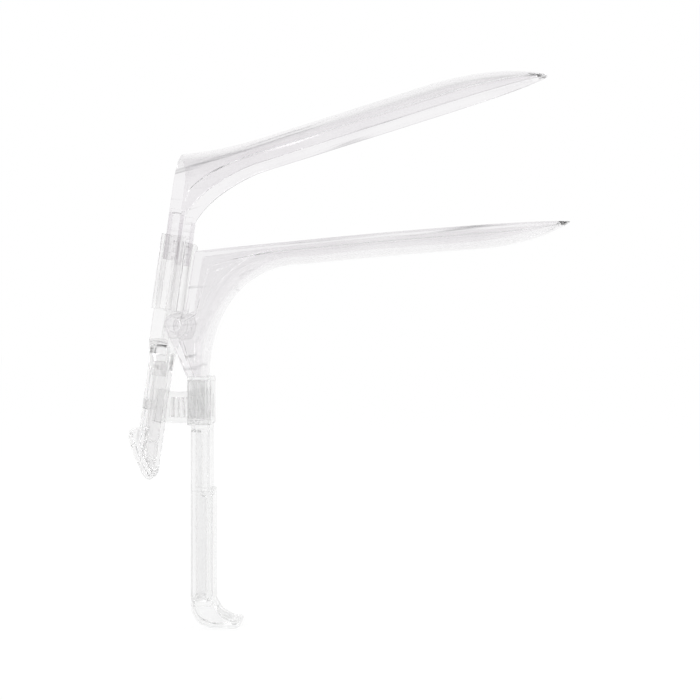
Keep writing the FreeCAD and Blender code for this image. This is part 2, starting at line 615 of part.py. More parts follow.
pad_side = outline(yoke, "thumb_pad_side", "XZ_Plane", [
    ("dims.lever_back + 1", "dims.pad_top + 1"), ("dims.lever_back", "dims.pad_top + 1"),
    ("dims.lever_back - dims.pad_out", "dims.pad_top"), ("dims.lever_back - dims.pad_out - 0.2", "dims.pad_top - 2.8"),
    ("dims.lever_back - 0.4", "dims.pad_top - 7.6"), ("dims.foot_x - 3.2", "dims.lever_foot + 2.1"),
    ("dims.foot_x - 1.8", "dims.lever_foot + 0.6"), ("dims.foot_x", "dims.lever_foot"),
    ("dims.foot_x", "dims.lever_foot + 1.8"), ("dims.foot_x - 3.9", "dims.lever_foot + 7"),
    ("dims.lever_back - 0.6", "dims.pad_top - 3.8")])
pad(yoke, "thumb_pad", pad_side, "2 * dims.pad_half", both=True)
grooves = [("dims.lever_back - dims.pad_out - 0.1", "dims.pad_top - 1.4"),
           ("dims.lever_back - dims.pad_out / 2 - 0.3", "dims.pad_top - 5.2"),
           ("(dims.lever_back + dims.foot_x - 3.6) / 2", "(dims.pad_top + dims.lever_foot - 5.5) / 2")]
for number, (across, up) in enumerate(grooves, start=1):
    groove_side = disc(yoke, f"grip_groove_{number}_side", "XZ_Plane", across, up, "dims.pad_groove")
    pocket(yoke, f"grip_groove_{number}", groove_side, "2 * (dims.pad_half - dims.wall)", both=True)

opening = outline(yoke, "fork_opening_front", "YZ_Plane", [
    (fork_inner, "dims.rail_foot + 9"), (f"-({fork_inner})", "dims.rail_foot + 9"),
    (f"-({fork_inner})", "dims.fork_seat"), ("-dims.lever_half - 1.5", "dims.fork_seat - 1.6"),
    ("dims.lever_half + 1.5", "dims.fork_seat - 1.6"), (fork_inner, "dims.fork_seat")])
pocket(yoke, "fork_opening", opening, "60", both=True)
hollow = outline(yoke, "lever_hollow_front", "YZ_Plane", [
    ("dims.lever_half - dims.wall", "dims.fork_seat - 3.4"), ("-dims.lever_half + dims.wall", "dims.fork_seat - 3.4"),
    ("-dims.lever_half + dims.wall", "dims.pad_top - 3"), ("dims.lever_half - dims.wall", "dims.pad_top - 3")],
    offset="dims.lever_back + dims.wall")
pocket(yoke, "lever_hollow", hollow, "20", back=True)
foot = outline(yoke, "lever_foot_side", "XZ_Plane", [
    ("dims.lever_back + dims.wall", "dims.pad_top - 2.9"), ("0", "dims.pad_top - 2.9"),
    ("0", "dims.lever_foot + 2.6"), ("dims.foot_x - 1.2", "dims.lever_foot + 2.6"),
    ("dims.lever_back + dims.wall", "dims.pad_top - 6.4")])
pocket(yoke, "lever_foot_hollow", foot, "2 * (dims.lever_half - dims.wall)", both=True)
cradle = outline(yoke, "strap_seat_front", "YZ_Plane", [
    ("-dims.peg_half - dims.peg_fit", "-dims.strap_far + dims.peg_inset"),
    ("dims.peg_half + dims.peg_fit", "-dims.strap_far + dims.peg_inset"),
    ("dims.peg_half + dims.peg_fit", "-dims.strap_near - dims.peg_inset"),
    ("-dims.peg_half - dims.peg_fit", "-dims.strap_near - dims.peg_inset")])
pocket(yoke, "strap_seat", cradle, "20")

rail_plan = outline(yoke, "rail_plan", "XY_Plane", [
    ("dims.rail_back", fork_inner), ("dims.rail_back + dims.rail_deep", fork_inner),
    ("dims.rail_back + dims.rail_deep", rail_out), ("dims.rail_back", rail_out)], offset="dims.rail_foot")
rail = pad(yoke, "rail", rail_plan, "dims.rail_top - dims.rail_foot")
neck_slot = outline(yoke, "neck_slot_plan", "XY_Plane", [
    ("dims.leg_back + (dims.leg_depth - dims.slot_wide) / 2", f"{fork_inner} - 1"),
    ("dims.leg_back + (dims.leg_depth + dims.slot_wide) / 2", f"{fork_inner} - 1"),
    ("dims.leg_back + (dims.leg_depth + dims.slot_wide) / 2", f"{fork_inner} + 1.6"),
    ("dims.leg_back + (dims.leg_depth - dims.slot_wide) / 2", f"{fork_inner} + 1.6")], offset="dims.rail_foot + 0.5")
neck_cut = pocket(yoke, "neck_slot", neck_slot, "40", back=True)
head_slot = outline(yoke, "head_slot_plan", "XY_Plane", [
    ("dims.leg_back - 0.2", f"{fork_inner} + 1.2"), ("dims.leg_back + dims.leg_depth + 0.2", f"{fork_inner} + 1.2"),
    ("dims.leg_back + dims.leg_depth + 0.2", f"{rail_out} - 1.0"), ("dims.leg_back - 0.2", f"{rail_out} - 1.0")],
    offset="dims.rail_foot + 0.5")
head_cut = pocket(yoke, "head_slot", head_slot, "40", back=True)
mirror(yoke, "other_rail", [rail, neck_cut, head_cut])


def rail_shoulder(middle, direction):
    """An upper front corner of a rail."""
    corner = yoke_point(size("rail_back") + size("rail_deep"), size("rail_top"))
    return abs(direction.y) > 0.99 and (Vector(middle.x, 0, middle.z) - corner).Length < 0.1


round_edges(yoke, "rail_shoulders", "dims.rail_round", rail_shoulder)

bore_side = disc(yoke, "bore_side", "XZ_Plane", "0", "0", "dims.trunnion_radius + dims.hinge_fit")
pocket(yoke, "bores", bore_side, "80", both=True)

# Strap: a sector about the hinge with a rim above and below, saw teeth between the rims, and a root in the lever
strap_start = "-dims.lever_lean - 4"


def arc_block(name, radius, half, start, end):
    """A sector of a disc about the hinge, between two angles from straight down, to both sides of the middle."""
    block = doc.addObject("Part::Cylinder", name)
    block.setExpression("Radius", radius)
    block.setExpression("Height", f"2 * ({half})")
    block.setExpression("Angle", f"({end}) - ({start})")
    block.Placement = Placement(Vector(0, 0, 0), Rotation(Vector(1, 0, 0), 90))
    turned = Rotation(Vector(0, 1, 0), 90 - block.evalExpression(start)) * Rotation(Vector(1, 0, 0), 90)
    block.Placement = Placement(Vector(size("hinge_x"), 0, size("hinge_z")), turned)
    block.setExpression("Placement.Base.x", "dims.hinge_x")
    block.setExpression("Placement.Base.y", half)
    block.setExpression("Placement.Base.z", "dims.hinge_z")
    return block


def cut_from(name, base, tool):
    """One solid less another."""
    result = doc.addObject("Part::Cut", name)
    result.Base = base
    result.Tool = tool
    return result


band = cut_from("strap_band", arc_block("strap_outer", "dims.strap_far", "dims.strap_half", strap_start, "dims.strap_reach"),
                arc_block("strap_inner", "dims.strap_near", "dims.strap_half + 1", f"{strap_start} - 1",
                          "dims.strap_reach + 1"))
recess = cut_from("recess_ring",
                  arc_block("recess_outer", "dims.strap_far - dims.strap_rim", "dims.strap_half + 1",
                            "-dims.lever_lean + 1.5", "dims.strap_reach - 1.2"),
                  arc_block("recess_inner", "dims.strap_near + dims.strap_rim", "dims.strap_half + 2",
                            "-dims.lever_lean", "dims.strap_reach"))
web = arc_block("strap_web_disc", "dims.strap_far - 0.5", "dims.strap_web", strap_start, "dims.strap_reach - 0.4")
recess_sides = cut_from("recess_sides", recess, web)
end_box = doc.addObject("Part::Box", "strap_end_box")
end_box.setExpression("Length", "dims.strap_far")
end_box.setExpression("Width", "2 * dims.neck_half")
end_box.setExpression("Height", "dims.strap_far + 10")
end_box.setExpression("Placement.Base.x", "dims.collar_back + dims.collar_deep + 0.3")
end_box.setExpression("Placement.Base.y", "-dims.neck_half")
end_box.setExpression("Placement.Base.z", "dims.hinge_z - dims.strap_far - 10")
band_cut = cut_from("strap_profile", cut_from("strap_ended", band, end_box), recess_sides)
teeth = []
TOOTH_COUNT = 8
for side in (-1, 1):
    for number in range(TOOTH_COUNT):
        tooth = doc.addObject("Part::Wedge", f"tooth_{'near' if side < 0 else 'far'}_{number + 1}")
        tooth.setExpression("Xmin", "-dims.tooth_long")
        tooth.setExpression("Xmax", "0")
        tooth.setExpression("X2min", "-dims.tooth_crest")
        tooth.setExpression("X2max", "0")
        tooth.setExpression("Ymin", "dims.strap_web - 0.1")
        tooth.setExpression("Ymax", "dims.strap_half")
        tooth.setExpression("Zmin", "dims.strap_near + dims.strap_rim - 0.2")
        tooth.setExpression("Zmax", "dims.strap_far - dims.strap_rim + 0.2")
        tooth.setExpression("Z2min", "dims.strap_near + dims.strap_rim - 0.2")
        tooth.setExpression("Z2max", "dims.strap_far - dims.strap_rim + 0.2")
        angle = size("tooth_first") - number * size("tooth_step")
        down = Rotation(Vector(0, 1, 0), -angle) * Rotation(Vector(1, 0, 0), 180)
        tooth.Placement = Placement(Vector(size("hinge_x"), 0, size("hinge_z")), down)
        if side > 0:
            flipped = doc.addObject("Part::Mirroring", f"tooth_turned_{number + 1}")
            flipped.Source = tooth
            flipped.Base = Vector(0, 0, 0)
            flipped.Normal = Vector(0, 1, 0)
            teeth.append(flipped)
        else:
            teeth.append(tooth)
root = new_body("strap_root", yoke_frame=True)
root_front = outline(root, "root_front", "YZ_Plane", [
    ("-dims.lever_half + dims.wall + 0.1", "-dims.strap_far - 0.4"),
    ("dims.lever_half - dims.wall - 0.1", "-dims.strap_far - 0.4"),
    ("dims.lever_half - dims.wall - 0.1", "-dims.strap_near + 0.4"),
    ("-dims.lever_half + dims.wall + 0.1", "-dims.strap_near + 0.4")], offset="dims.lever_back + dims.wall + 1.8")
pad(root, "root_block", root_front, "dims.lever_deep - dims.wall - 1.9")
peg_front = outline(root, "peg_front", "YZ_Plane", [
    ("-dims.peg_half", "-dims.strap_far + dims.peg_inset + dims.peg_fit"),
    ("dims.peg_half", "-dims.strap_far + dims.peg_inset + dims.peg_fit"),
    ("dims.peg_half", "-dims.strap_near - dims.peg_inset - dims.peg_fit"),
    ("-dims.peg_half", "-dims.strap_near - dims.peg_inset - dims.peg_fit")], offset="dims.lever_back + 0.1")
pad(root, "peg", peg_front, "dims.wall + 2")
doc.recompute()
ratchet_strap = fused("ratchet_strap", [band_cut, root] + teeth)

# Every object in order, then one file for each moulding
doc.recompute()
for item in doc.Objects:
    if "Invalid" in item.State or "Error" in item.State:
        raise RuntimeError(f"{item.Label} failed: {item.State}")
os.makedirs("parts", exist_ok=True)
for item in (lower_blade_handle, upper_blade, yoke, ratchet_strap):
    shape = item.Shape
    if shape.isNull() or not shape.isValid():
        raise RuntimeError(f"{item.Label} has no valid shape")
    shape.exportStep(f"parts/{item.Label}.step")
    box = shape.optimalBoundingBox()
    print(item.Label, len(shape.Solids), "solid", round(shape.Volume, 1), "mm3", box)
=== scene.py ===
# %% [markdown]
# # A clear bivalve speculum
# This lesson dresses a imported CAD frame. The real object is four mouldings of clear, stiff plastic: a lower blade
# with its handle, an upper blade, a yoke with a thumb lever, and a short toothed strap. Each one is built again here
# as a smooth closed surface, and each one rides on the body of the frame that carries it.

# %% Load the frame
import json
import math

import bpy
import numpy as np
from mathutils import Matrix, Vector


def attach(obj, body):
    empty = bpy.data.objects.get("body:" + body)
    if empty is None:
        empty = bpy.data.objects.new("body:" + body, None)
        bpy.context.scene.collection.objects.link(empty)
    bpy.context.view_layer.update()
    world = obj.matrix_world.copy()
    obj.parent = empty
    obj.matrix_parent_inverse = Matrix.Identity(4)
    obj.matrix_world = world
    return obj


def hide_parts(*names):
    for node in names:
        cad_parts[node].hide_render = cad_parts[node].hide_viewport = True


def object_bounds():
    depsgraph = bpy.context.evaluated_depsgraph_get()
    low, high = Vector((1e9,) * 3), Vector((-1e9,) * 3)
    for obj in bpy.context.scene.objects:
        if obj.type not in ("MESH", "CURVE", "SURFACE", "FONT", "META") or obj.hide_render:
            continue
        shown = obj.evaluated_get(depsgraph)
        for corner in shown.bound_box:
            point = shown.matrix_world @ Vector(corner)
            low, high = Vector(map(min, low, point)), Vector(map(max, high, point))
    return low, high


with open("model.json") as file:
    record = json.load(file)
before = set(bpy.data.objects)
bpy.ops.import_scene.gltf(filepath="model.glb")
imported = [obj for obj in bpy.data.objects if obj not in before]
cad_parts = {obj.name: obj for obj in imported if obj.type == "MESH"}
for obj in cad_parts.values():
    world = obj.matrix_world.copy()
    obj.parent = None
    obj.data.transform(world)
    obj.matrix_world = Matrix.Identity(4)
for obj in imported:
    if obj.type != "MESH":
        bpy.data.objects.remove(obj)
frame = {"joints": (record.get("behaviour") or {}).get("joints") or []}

bpy.context.view_layer.update()
cad_low, cad_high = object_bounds()
print("CAD box in mm:", [round(1000 * v, 1) for v in (*cad_low, *cad_high)])

# %% [markdown]
# ## Units and the yoke's own frame
# Lengths are written in millimetres and turned into metres when a mesh is made. The yoke, the lever and the legs of
# the upper blade lean forward, so they are drawn in a frame of their own. Its origin is on the hinge and its second
# axis runs along the slide, and both come from the frame's joints, so this script and the CAD model can't disagree.

# %% Hinge, slide and the leaning frame
MM = 0.001
joints = {joint["name"]: joint for joint in frame["joints"]}
hinge = np.array(joints["blade_opening"]["pos_m"])[[0, 2]] / MM
slide_up = np.array(joints["height_slide"]["axis"])[[0, 2]]
slide_forward = np.array([slide_up[1], -slide_up[0]])
lever_lean = math.degrees(math.atan2(slide_up[0], slide_up[1]))


def from_yoke(forward, up):
    """A point of the yoke's frame in the part's XZ plane: the hinge plus so much forward and so much up."""
    return hinge + np.multiply.outer(forward, slide_forward) + np.multiply.outer(up, slide_up)


def direction(angle):
    """Unit vectors in the XZ plane at angles in degrees above +X: cosine and sine."""
    angle = np.radians(angle)
    return np.stack([np.cos(angle), np.sin(angle)], axis=-1)


print("hinge at", hinge, "mm, slide leans", round(lever_lean, 2), "degrees")

# %% [markdown]
# ## From arrays to meshes
# Every solid here is a stack of closed loops with the same number of points. Neighbouring loops are joined with
# quads, and the first and last loop are closed with one flat face each, so nothing is open and light can be followed
# through the plastic. The whole mesh is written in three calls, with no loop over its points.


# %% Loops to a closed mesh
def solid(name, loops):
    """A closed mesh from loops of shape (loops, points, 3) in millimetres: quads between loops, a face at each end."""
    count, size, _ = loops.shape
    rows = np.arange(count - 1)[:, None] * size
    here = np.arange(size)[None, :]
    after = (here + 1) % size
    quads = np.stack([rows + here, rows + after, rows + size + after, rows + size + here], axis=-1).reshape(-1, 4)
    corners = np.concatenate([quads.ravel(), np.arange(size)[::-1], np.arange(size) + (count - 1) * size])
    totals = np.concatenate([np.full(len(quads), 4), [size, size]])
    mesh = bpy.data.meshes.new(name)
    mesh.vertices.add(count * size)
    mesh.vertices.foreach_set("co", loops.astype(np.float32).ravel())
    mesh.loops.add(len(corners))
    mesh.loops.foreach_set("vertex_index", corners.astype(np.int32))
    mesh.polygons.add(len(totals))
    mesh.polygons.foreach_set("loop_start", np.concatenate([[0], np.cumsum(totals)[:-1]]).astype(np.int32))
    mesh.update(calc_edges=True)
    face_out(mesh)
    piece = bpy.data.objects.new(name, mesh)
    bpy.context.scene.collection.objects.link(piece)
    return piece


def face_out(mesh):
    """Turns a closed mesh the right way out: its volume, summed over its triangles, has to come out positive."""
    mesh.calc_loop_triangles()
    points = np.empty(len(mesh.vertices) * 3, np.float32)
    mesh.vertices.foreach_get("co", points)
    corners = np.empty(len(mesh.loop_triangles) * 3, np.int32)
    mesh.loop_triangles.foreach_get("vertices", corners)
    a, b, c = points.reshape(-1, 3)[corners.reshape(-1, 3)].transpose(1, 0, 2).astype(float)
    if np.einsum("ij,ij->i", a, np.cross(b, c)).sum() < 0:
        mesh.flip_normals()


# %% [markdown]
# ## Plates with rounded edges
# Most of the small forms are plates: a flat outline with rounded corners, carried across a thickness. A moulded
# plate never has a knife edge, and in clear plastic the small radius along each edge is what draws the thin bright
# and dark lines. So the outline shrinks a little, along a quarter circle, at both ends.


# %% Outlines and plates
def rounded(corners, radii=0.6, steps=5):
    """A closed outline whose corners are arcs.

    Each corner is cut back along its two sides by radius / tan(half angle), no more than 0.45 of a side, and the
    cut points are joined by a curve of second degree with the corner as its control point.
    """
    corners = np.array(corners, float)
    radii = np.broadcast_to(np.array(radii, float), len(corners))
    before = np.roll(corners, 1, axis=0) - corners
    after = np.roll(corners, -1, axis=0) - corners
    long_before = np.linalg.norm(before, axis=1)
    long_after = np.linalg.norm(after, axis=1)
    cosine = (before * after).sum(1) / (long_before * long_after)
    half_angle = np.arccos(np.clip(cosine, -1, 1)) / 2
    cut = np.minimum(radii / np.tan(np.clip(half_angle, 0.05, 1.55)), 0.45 * np.minimum(long_before, long_after))
    start = corners + before * (cut / long_before)[:, None]
    end = corners + after * (cut / long_after)[:, None]
    t = np.linspace(0, 1, steps)[None, :, None]
    arcs = start[:, None] * (1 - t) ** 2 + corners[:, None] * 2 * t * (1 - t) + end[:, None] * t ** 2
    return arcs.reshape(-1, 2)


def shrunk(outline, inset):
    """An outline moved inwards: each point goes along the mean of its two sides' normals, lengthened by the mitre."""
    side = np.roll(outline, -1, axis=0) - outline
    side = side / np.maximum(np.linalg.norm(side, axis=1), 1e-9)[:, None]
    normal = np.stack([-side[:, 1], side[:, 0]], axis=1)
    x, y = outline.T
    area = np.sum(x * np.roll(y, -1) - np.roll(x, -1) * y) / 2
    mean = normal + np.roll(normal, 1, axis=0)
    mean = mean / np.maximum((mean ** 2).sum(1), 0.4)[:, None] * 2
    return outline + mean * inset * np.sign(area)


def plate(name, outline, low, high, place, edge=0.25):
    """A plate from an outline: inset falls from edge to nothing over a quarter circle at both ends.

    place(first, second, across) puts outline coordinates and the coordinate across the plate into XYZ.
    """
    turn = np.linspace(0, np.pi / 2, 4)
    inset = edge * (1 - np.sin(turn))
    depth = edge * (1 - np.cos(turn))
    across = np.concatenate([low + depth, high - depth[::-1]])
    insets = np.concatenate([inset, inset[::-1]])
    rings = np.stack([shrunk(outline, value) for value in insets])
    level = np.broadcast_to(across[:, None], rings.shape[:2])
    return solid(name, place(rings[..., 0], rings[..., 1], level))


def side_view(x, z, y):
    """Places an outline that is drawn in the part's side view."""
    return np.stack([x, y, z], axis=-1)


def yoke_side(forward, up, across):
    """Places an outline that is drawn in the side view of the yoke's frame."""
    point = from_yoke(forward, up)
    return np.stack([point[..., 0], across, point[..., 1]], axis=-1)


def yoke_front(across, up, forward):
    """Places an outline that is drawn in the front view of the yoke's frame."""
    return yoke_side(forward, up, across)


def yoke_plan(forward, across, up):
    """Places an outline that is drawn in the plan view of the yoke's frame."""
    return yoke_side(forward, up, across)


def front_view(y, z, x):
    """Places an outline that is drawn in the part's front view."""
    return np.stack([x, y, z], axis=-1)


def plan_view(x, y, z):
    """Places an outline that is drawn in the part's plan view."""
    return np.stack([x, y, z], axis=-1)


def box_outline(first_low, first_high, second_low, second_high, radius=0.3):
    """A rectangle with rounded corners."""
    return rounded([(first_low, second_low), (first_high, second_low), (first_high, second_high),
                    (first_low, second_high)], radius)


def disc_outline(first, second, radius, steps=48):
    """A circle as an outline: centre plus radius times cosine and sine."""
    turn = np.linspace(0, 2 * np.pi, steps, endpoint=False)
    return np.stack([first + radius * np.cos(turn), second + radius * np.sin(turn)], axis=1)


print("a rounded square has", len(box_outline(0, 1, 0, 1)), "points")

# %% [markdown]
# ## One skin for each moulding
# A moulding is one piece of plastic, so where two solids meet there must be no wall between them, or light would
# bend there as it does in air. Blender's Boolean modifier with its manifold solver joins and cuts the closed solids.
# Its result is then taken as a plain mesh, and sharp edges stay sharp when the rest is shaded smooth.


# %% Joining and cutting solids
def moulded(name, added, cut=(), smooth=32):
    """One closed skin: the union of the first solids less the union of the others, smooth up to an angle."""
    piece = added[0]
    for operation, tools in (("UNION", added[1:]), ("DIFFERENCE", cut)):
        if not tools:
            continue
        group = bpy.data.collections.new(f"{name}_{operation.lower()}")
        for tool in tools:
            group.objects.link(tool)
        step = piece.modifiers.new(operation.lower(), "BOOLEAN")
        step.operation = operation
        step.solver = "MANIFOLD"
        step.operand_type = "COLLECTION"
        step.collection = group
    bpy.context.view_layer.update()
    ready = piece.evaluated_get(bpy.context.evaluated_depsgraph_get())
    mesh = bpy.data.meshes.new_from_object(ready)
    mesh.name = name
    for tool in [*added, *cut]:
        bpy.data.objects.remove(tool)
    mesh.set_sharp_from_angle(angle=math.radians(smooth))
    mesh.shade_smooth()
    mesh.materials.clear()
    whole = bpy.data.objects.new(name, mesh)
    bpy.context.scene.collection.objects.link(whole)
    print(f"{name}: {len(mesh.polygons)} faces, {open_edges(mesh)} open edges")
    return whole


def open_edges(mesh):
    """How many edges don't have exactly two faces, which is none on a closed skin."""
    edges = np.empty(len(mesh.loops), np.int32)
    mesh.loops.foreach_get("edge_index", edges)
    return int((np.bincount(edges, minlength=len(mesh.edges)) != 2).sum())


# %% [markdown]
# ## The blades' section
# Across its length each blade is a U: two upright walls and a rounded keel, with one wall thickness all round and a
# rim whose two corners are rounded. Each quarter of the keel is a curve of third degree. The same U, turned about the
# bend of the neck, also makes the flared mouth, because the mould's two halves part along the same line there.


# %% U-shaped sections
WALL = 1.5
RIM_EDGE = 0.45
LEDGE_DEEP, LEDGE_RUN = 0.3, 0.045


def keel(half, corner, square, up):
    """How far a U's wall stands out at given heights, as a table looked up along a quarter curve.

    The curve has the poles (half, corner), (half, corner (1 - square)), (half (1 - square), 0) and (0, 0).
    """
    s = np.linspace(0, 1, 80)
    b0, b1, b2 = (1 - s) ** 3, 3 * s * (1 - s) ** 2, 3 * s ** 2 * (1 - s)
    across = half[:, None] * (b0 + b1 + np.outer(1 - square, b2))
    height = corner[:, None] * (b0 + np.outer(1 - square, b1))
    rows = [np.interp(level, rise[::-1], out[::-1]) for level, rise, out in zip(up, height, across)]
    return np.stack(rows)


def u_loops(foot, aim, half, corner, height, square, floor, ledge, points=26):
    """Closed U loops: the outer wall down and up again, over the rim, and the inner wall back.

    Heights along a wall run as the square of a share from the keel to just under the rim, so that they are close
    together where the keel is round. At the ledge, a share of the inner wall's height, the wall gets thinner and so
    draws a line along the blade. The rim's corners are quarter circles, and smaller where the blade is thin.
    """
    share = np.linspace(0, 1, points) ** 2
    edge = np.minimum(RIM_EDGE, 0.3 * height)
    corner = np.minimum(corner, 0.9 * (height - edge))
    outer_up = np.outer(height - edge, share)
    outer = keel(half, corner, square, outer_up)
    floor = np.minimum(floor, height - edge - 0.02)
    thick = np.minimum(WALL, 0.45 * half)
    share = np.sort(np.concatenate([share, ledge + LEDGE_RUN * np.linspace(0, 1, 6)]))
    inner_up = floor[:, None] + np.outer(np.maximum(height - edge - floor, 0.01), share)
    inner_half = half - thick
    inner_corner = np.maximum(corner - floor, 0.3)
    inner = keel(inner_half, inner_corner, square, inner_up - floor[:, None])
    step = LEDGE_DEEP * np.clip(height / 6, 0, 1)
    inner = inner + np.outer(step, smooth_step((share - ledge) / LEDGE_RUN))
    inner_half = inner_half + step
    turn = np.linspace(0, np.pi / 2, 4)[1:]
    over_out = half[:, None] - edge[:, None] * (1 - np.cos(turn))
    over_up = height[:, None] - edge[:, None] * (1 - np.sin(turn))
    back_out = inner_half[:, None] + edge[:, None] * (1 - np.cos(turn[::-1]))
    right = np.concatenate([outer, over_out, back_out, inner[:, ::-1]], axis=1)
    right_up = np.concatenate([outer_up, over_up, over_up[:, ::-1], inner_up[:, ::-1]], axis=1)
    across = np.concatenate([right, -right[:, ::-1][:, 1:-1]], axis=1)
    up = np.concatenate([right_up, right_up[:, ::-1][:, 1:-1]], axis=1)
    point = foot[:, None] + aim[:, None] * up[..., None]
    return np.stack([point[..., 0], across, point[..., 1]], axis=-1)


def smooth_step(value):
    """0 below 0 and 1 above 1, with an S-shaped curve 3 v^2 - 2 v^3 between."""
    value = np.clip(value, 0, 1)
    return value * value * (3 - 2 * value)


def reach_to(outline, foot, aim):
    """How far each ray from foot along aim goes before it first meets a line of joined points."""
    a = outline[:-1][None]
    side = (outline[1:] - outline[:-1])[None]
    gap = a - foot[:, None]
    cross = aim[:, None, 0] * side[..., 1] - aim[:, None, 1] * side[..., 0]
    cross = np.where(np.abs(cross) < 1e-9, 1e-9, cross)
    along = (gap[..., 0] * side[..., 1] - gap[..., 1] * side[..., 0]) / cross
    share = (gap[..., 0] * aim[:, None, 1] - gap[..., 1] * aim[:, None, 0]) / cross
    hit = (along > 0.5) & (share > -1e-6) & (share < 1 + 1e-6)
    return np.where(hit, along, 1e3).min(axis=1)


def tip_share(along, start, length):
    """How much of a blade is left this far along: 1, and over the rounded tip 1 less the square of the share."""
    share = np.clip((along - start) / length, 0, 1)
    return 1 - share ** 2


trial = np.ones(2)
print("a U has", u_loops(np.eye(2), np.eye(2), *[9 * trial] * 3, trial / 2, trial, 0.6).shape[1], "points")

# %% [markdown]
# ## Lower blade and its flare
# The lower blade is a long shallow trough with a rounded tip. Towards the handle its keel turns down in a quarter of
# a superellipse, and its walls stay upright and spread into the lower half of the mouth. So the stations first step
# along the rim, and then turn about the inside of the bend. Each wall is as high as the way to the side outline.

# %% Lower blade
MOUTH_HALF, NECK_HALF = 15.6, 11.0
MOUTH_CORNER = np.array([0.3, 79.3])
MOUTH_BACK = 1.9
LOW_TILT, LOW_REACH, LOW_BOW, LOW_DEPTH, LOW_HALF, LOW_TIP = 4.94, 113.2, 0.85, 6.7, 13.1, 29.4
NECK_FRONT, FLARE_RUN, FLARE_RISE = 1.8, 28.2, 34.4
COLLAR_BACK, COLLAR_DEEP, COLLAR_FOOT, COLLAR_TOP = -4.3, 7.2, 26.6, 41.4
EAR_RADIUS = 3.4
TIP_FLOOR, TIP_GAP = 2.0, 0.16
LOW_LEDGE = 0.6
BLADE_STATIONS, FLARE_STATIONS = 90, 110


def low_rim(along):
    """The lower rim: a straight line that rises at the blade's tilt, and a shallow parabola on top of it."""
    share = along / LOW_REACH
    line = MOUTH_CORNER + np.multiply.outer(along, direction(LOW_TILT))
    return line + np.stack([0 * share, 4 * LOW_BOW * share * (1 - share)], axis=-1)


def low_sections():
    """Foot, aim, half width, corner, height and fullness of the lower blade's sections, from the tip to the collar."""
    spread = np.linspace(0, 1, BLADE_STATIONS)
    along = LOW_REACH - TIP_GAP - (LOW_REACH - 31) * spread ** 1.6
    left = tip_share(along, LOW_REACH - LOW_TIP, LOW_TIP)
    depth = LOW_DEPTH * left ** 0.8
    aim = np.broadcast_to(direction(LOW_TILT + 90), (len(along), 2))
    half = np.maximum(LOW_HALF * left ** 0.5, 1.2) - 0.4 * smooth_step((46 - along) / 16)
    blade = [low_rim(along) - aim * depth[:, None], aim, half, depth, depth, np.full(len(along), 0.55)]
    turn = 90 * (1 - np.linspace(0, 1, FLARE_STATIONS)[1:])
    power = 2 / 2.1
    cosine, sine = np.clip(direction(turn).T, 0, 1) ** power
    foot = np.stack([NECK_FRONT + FLARE_RUN * (1 - cosine), COLLAR_TOP + FLARE_RISE * sine], axis=-1)
    aim = direction(180 - turn * (1 - LOW_TILT / 90))
    opened = np.clip(turn / 17, 0, 1) ** 1.5
    closing = smooth_step((turn - 45) / 45)
    half = NECK_HALF + (MOUTH_HALF - NECK_HALF) * opened
    half = half + (LOW_HALF - 0.4 - half) * closing
    corner = 4.5 + 3.5 * np.sin(np.radians(np.minimum(turn, 60) * 1.5)) - 1.3 * np.clip((turn - 45) / 45, 0, 1)
    square = 0.72 - 0.17 * np.clip((turn - 45) / 45, 0, 1)
    height = reach_to(low_outline(), foot, aim)
    flare = [foot, aim, half, corner, height, square]
    return [np.concatenate(pair) for pair in zip(blade, flare)]


def low_outline():
    """The side outline above the keel: the rim, the mouth's edge, the round ear and the back of the neck."""
    rim = low_rim(np.linspace(LOW_REACH, -MOUTH_BACK, 60))
    ear = hinge + EAR_RADIUS * direction(np.linspace(90, 222, 24))
    foot = np.array([[MOUTH_CORNER[0] - MOUTH_BACK - 2.9, hinge[1] + EAR_RADIUS + 1.2]])
    return np.concatenate([rim, foot, ear, [[COLLAR_BACK, COLLAR_TOP - 0.5]]])


def low_shell():
    """The lower blade's skin: its sections from the tip to the collar, with the trough's floor lifted at the tip."""
    foot, aim, half, corner, height, square = low_sections()
    from_tip = np.arange(len(half)) < BLADE_STATIONS
    near_tip = smooth_step((10 - (LOW_REACH - foot[:, 0] + MOUTH_CORNER[0])) / 10) * from_tip
    floor = WALL + (TIP_FLOOR - WALL) * near_tip
    return solid("low_shell", u_loops(foot, aim, half, corner, height, square, floor, LOW_LEDGE))


# %% [markdown]
# ## Handle, collar and hook
# The handle is a hollow channel, open at the back, as such mouldings are, so that it cools evenly. Seen from the side
# it steps twice: a collar with the strap's window, a slimmer stem, and a grip whose foot turns forward in a hook. It
# is one solid cut by rounded blocks, rather than a box of thin walls, so that each inner corner has its radius too.

# %% Handle
STEM_FRONT, GRIP_BACK, GRIP_FRONT, GRIP_TOP, GRIP_FOOT = 2.4, -3.2, 3.4, 6.6, -28.0
GRIP_CHEEK = 1.8
HOOK_HALF, WINDOW_HALF = 8.0, 2.6
STRAP_HALF, PAWL_GAP = 2.0, 0.08


